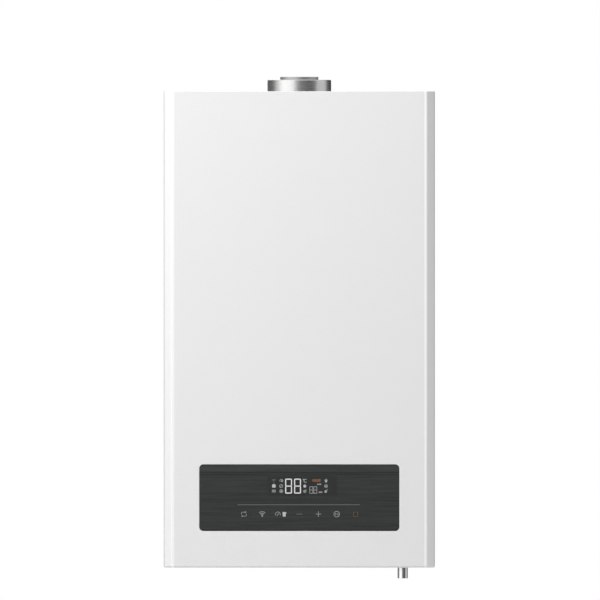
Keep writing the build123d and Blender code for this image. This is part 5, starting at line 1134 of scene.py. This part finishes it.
# %% Ribs of the water blocks
BLOCK_FACE, RIB = 150, 2.2
for node, (x0, x1), level_zs, (z0, z1), upright_xs in (
    ("return_block", (60, 140), (44, 84, 124), (38, 132), (62, 80.5, 99, 117.5, 136)),
    ("flow_block", (-140, -84), (38, 54, 70), (76, 138), (-80, -70, -60)),
):
    corners = [(x0, z, x1, z + RIB) for z in level_zs] + [(x, z0, x + RIB, z1) for x in upright_xs]
    ribs = [
        soft_slab((a, -BLOCK_FACE - 2.5, b), (c, 0.3 - BLOCK_FACE, d), BLOCK_FACE + 1, 0.7, 2)
        for a, b, c, d in corners
    ]
    fix(node + "_ribs", ribs, node)

# %% [markdown]
# ## Floor
# The boiler hangs in front of nothing, so a pale floor lies some way under it only to bounce
# light and to take its shadow.

# %% Floor
FLOOR_Z, FLECK = -0.42, 4.0
ground = begin(bpy.ops.mesh.primitive_plane_add, "studio_floor", size=6.0, location=(0, -1.6, FLOOR_Z))
floor_look, tree, shader = start_finish("pale studio floor", "e3e3e2", 0.0, 0.8)
place = add_node(tree, "TexCoord").outputs["Object"]
fleck = add_node(
    tree, "TexNoise", values={"Scale": 1 / (FLECK * MM)}, links={"Vector": place}
)
tint = add_node(tree, "ValToRGB", links={"Fac": fleck}, stops=((0.0, "e2e2e1"), (1.0, "e5e5e4")))
link_up(tree, shader, {"Base Color": tint})
ground.data.materials.append(floor_look)

# %% [markdown]
# ## World
# The camera sees plain white behind the boiler, also through its sight glass. Reflections
# see a studio: a bright panel to the left, a dark gap ahead and to the right, a weaker panel
# at the far right and an even ceiling, which polished steel shows as upright bands. A ray's
# direction gives its bearing round the boiler, and a ramp turns that into brightness.
# Everything else gets a soft fill that is stronger from above than from below.

# %% Studio world
AMBIENT, FROM_BELOW, PEAK, OVERHEAD, BEHIND = 0.6, 0.335, 1.75, 1.1, 0.25
world = bpy.data.worlds.new("studio")
bpy.context.scene.world = world
world.use_nodes = True
tree = world.node_tree
tree.nodes.clear()
way = add_node(tree, "TexCoord")
parts = add_node(tree, "SeparateXYZ", links={"Vector": way.outputs["Generated"]})
ahead = add_node(
    tree, "Math", options={"operation": "MULTIPLY"}, values={1: -1.0}, links={0: parts.outputs["Y"]}
)
bearing = add_node(tree, "Math", options={"operation": "ARCTAN2"}, links={0: parts.outputs["X"], 1: ahead})
turn = add_node(tree, "MapRange", values={"From Min": -pi, "From Max": pi}, links={"Value": bearing})
panels = (
    (-160, 0.18), (-140, 0.1), (-108, 0.18), (-86, 0.87), (-62, 1.7), (-24, 1.52), (-7, 0.42), (5, 0.2),
    (40, 0.09), (60, 0.15), (68, 0.76), (108, 0.76), (119, 0.14), (135, 0.06), (160, 0.0),
)
panel_stops = [((degrees + 180) / 360, level / PEAK) for degrees, level in panels]
studio = add_node(tree, "ValToRGB", links={"Fac": turn}, stops=[(0.0, BEHIND), *panel_stops, (1.0, BEHIND)])
soft = {"interpolation_type": "SMOOTHSTEP"}
rise = add_node(
    tree, "MapRange", options=soft, links={"Value": parts.outputs["Z"]},
    values={"From Min": -0.5, "From Max": 0.5, "To Min": FROM_BELOW, "To Max": AMBIENT},
)
even = add_node(tree, "Background", values={"Color": linear("ffffff")}, links={"Strength": rise})
above = add_node(
    tree, "MapRange", options=soft, values={"From Min": 0.4, "From Max": 0.85},
    links={"Value": parts.outputs["Z"]},
)
dome = add_node(
    tree, "Mix", options={"data_type": "RGBA"}, values={"B": stop_colour(OVERHEAD / PEAK)},
    links={"Factor": above, "A": studio},
)
bands = add_node(tree, "Background", values={"Strength": PEAK}, links={"Color": dome.outputs["Result"]})
white = add_node(tree, "Background", values={"Color": linear("ffffff"), "Strength": 1.0})
ray = add_node(tree, "LightPath")
lit = add_node(tree, "MixShader", links={0: ray.outputs["Is Glossy Ray"], 1: even, 2: bands})
seen = add_node(
    tree, "Math", options={"operation": "MAXIMUM"},
    links={0: ray.outputs["Is Camera Ray"], 1: ray.outputs["Is Transmission Ray"]},
)
backdrop = add_node(tree, "MixShader", links={0: seen, 1: lit, 2: white})
add_node(tree, "OutputWorld", links={"Surface": backdrop})
print("world of", len(tree.nodes), "nodes")

# %% [markdown]
# ## Lamps and camera
# One large soft lamp stands high at the front left, so the face runs from light at the top
# left to a little darker at the bottom right and the right corner falls into shade. Its own
# mirror image is switched off, since the studio's bright panel stands in for it. A weaker
# lamp behind keeps the back from going dark. The camera is level and square to the face,
# far away behind a very long lens, so parallel lines stay all but parallel.

# %% Lamps


def soft_lamp(name, place, aim, size, power):
    """A square area lamp turned towards a point."""
    bpy.ops.object.light_add(type="AREA", location=place)
    lamp = bpy.context.object
    lamp.name = name
    lamp.rotation_euler = (Vector(aim) - Vector(place)).to_track_quat("-Z", "Y").to_euler()
    lamp.data.size, lamp.data.energy = size, power
    print("lamp", name, power, "W")
    return lamp


key = soft_lamp("key", (-1.38, -1.88, 2.18), (0, -0.2, 0.5), 1.2, 54.8)
key.visible_glossy = False
soft_lamp("back_fill", (-1.0, 3.4, 3.4), (0, 0, 0.4), 2.4, 26)

# %% Camera
VIEW_MM, LENS, SHARP_DEPTH, MIDDLE_X, MIDDLE_Z = 938.9, 1700.0, 290.0, 1.1, 418.6
camera_data = bpy.data.cameras.new("portrait")
camera_data.lens = LENS
away = VIEW_MM * LENS / camera_data.sensor_width
camera = bpy.data.objects.new("portrait", camera_data)
camera.location = (MIDDLE_X * MM, -(away + SHARP_DEPTH) * MM, MIDDLE_Z * MM)
camera.rotation_euler = (radians(90), 0, 0)
bpy.context.scene.collection.objects.link(camera)
bpy.context.scene.camera = camera
bpy.context.scene.view_settings.view_transform = "Standard"
print("camera", round(away * MM, 1), "m away")
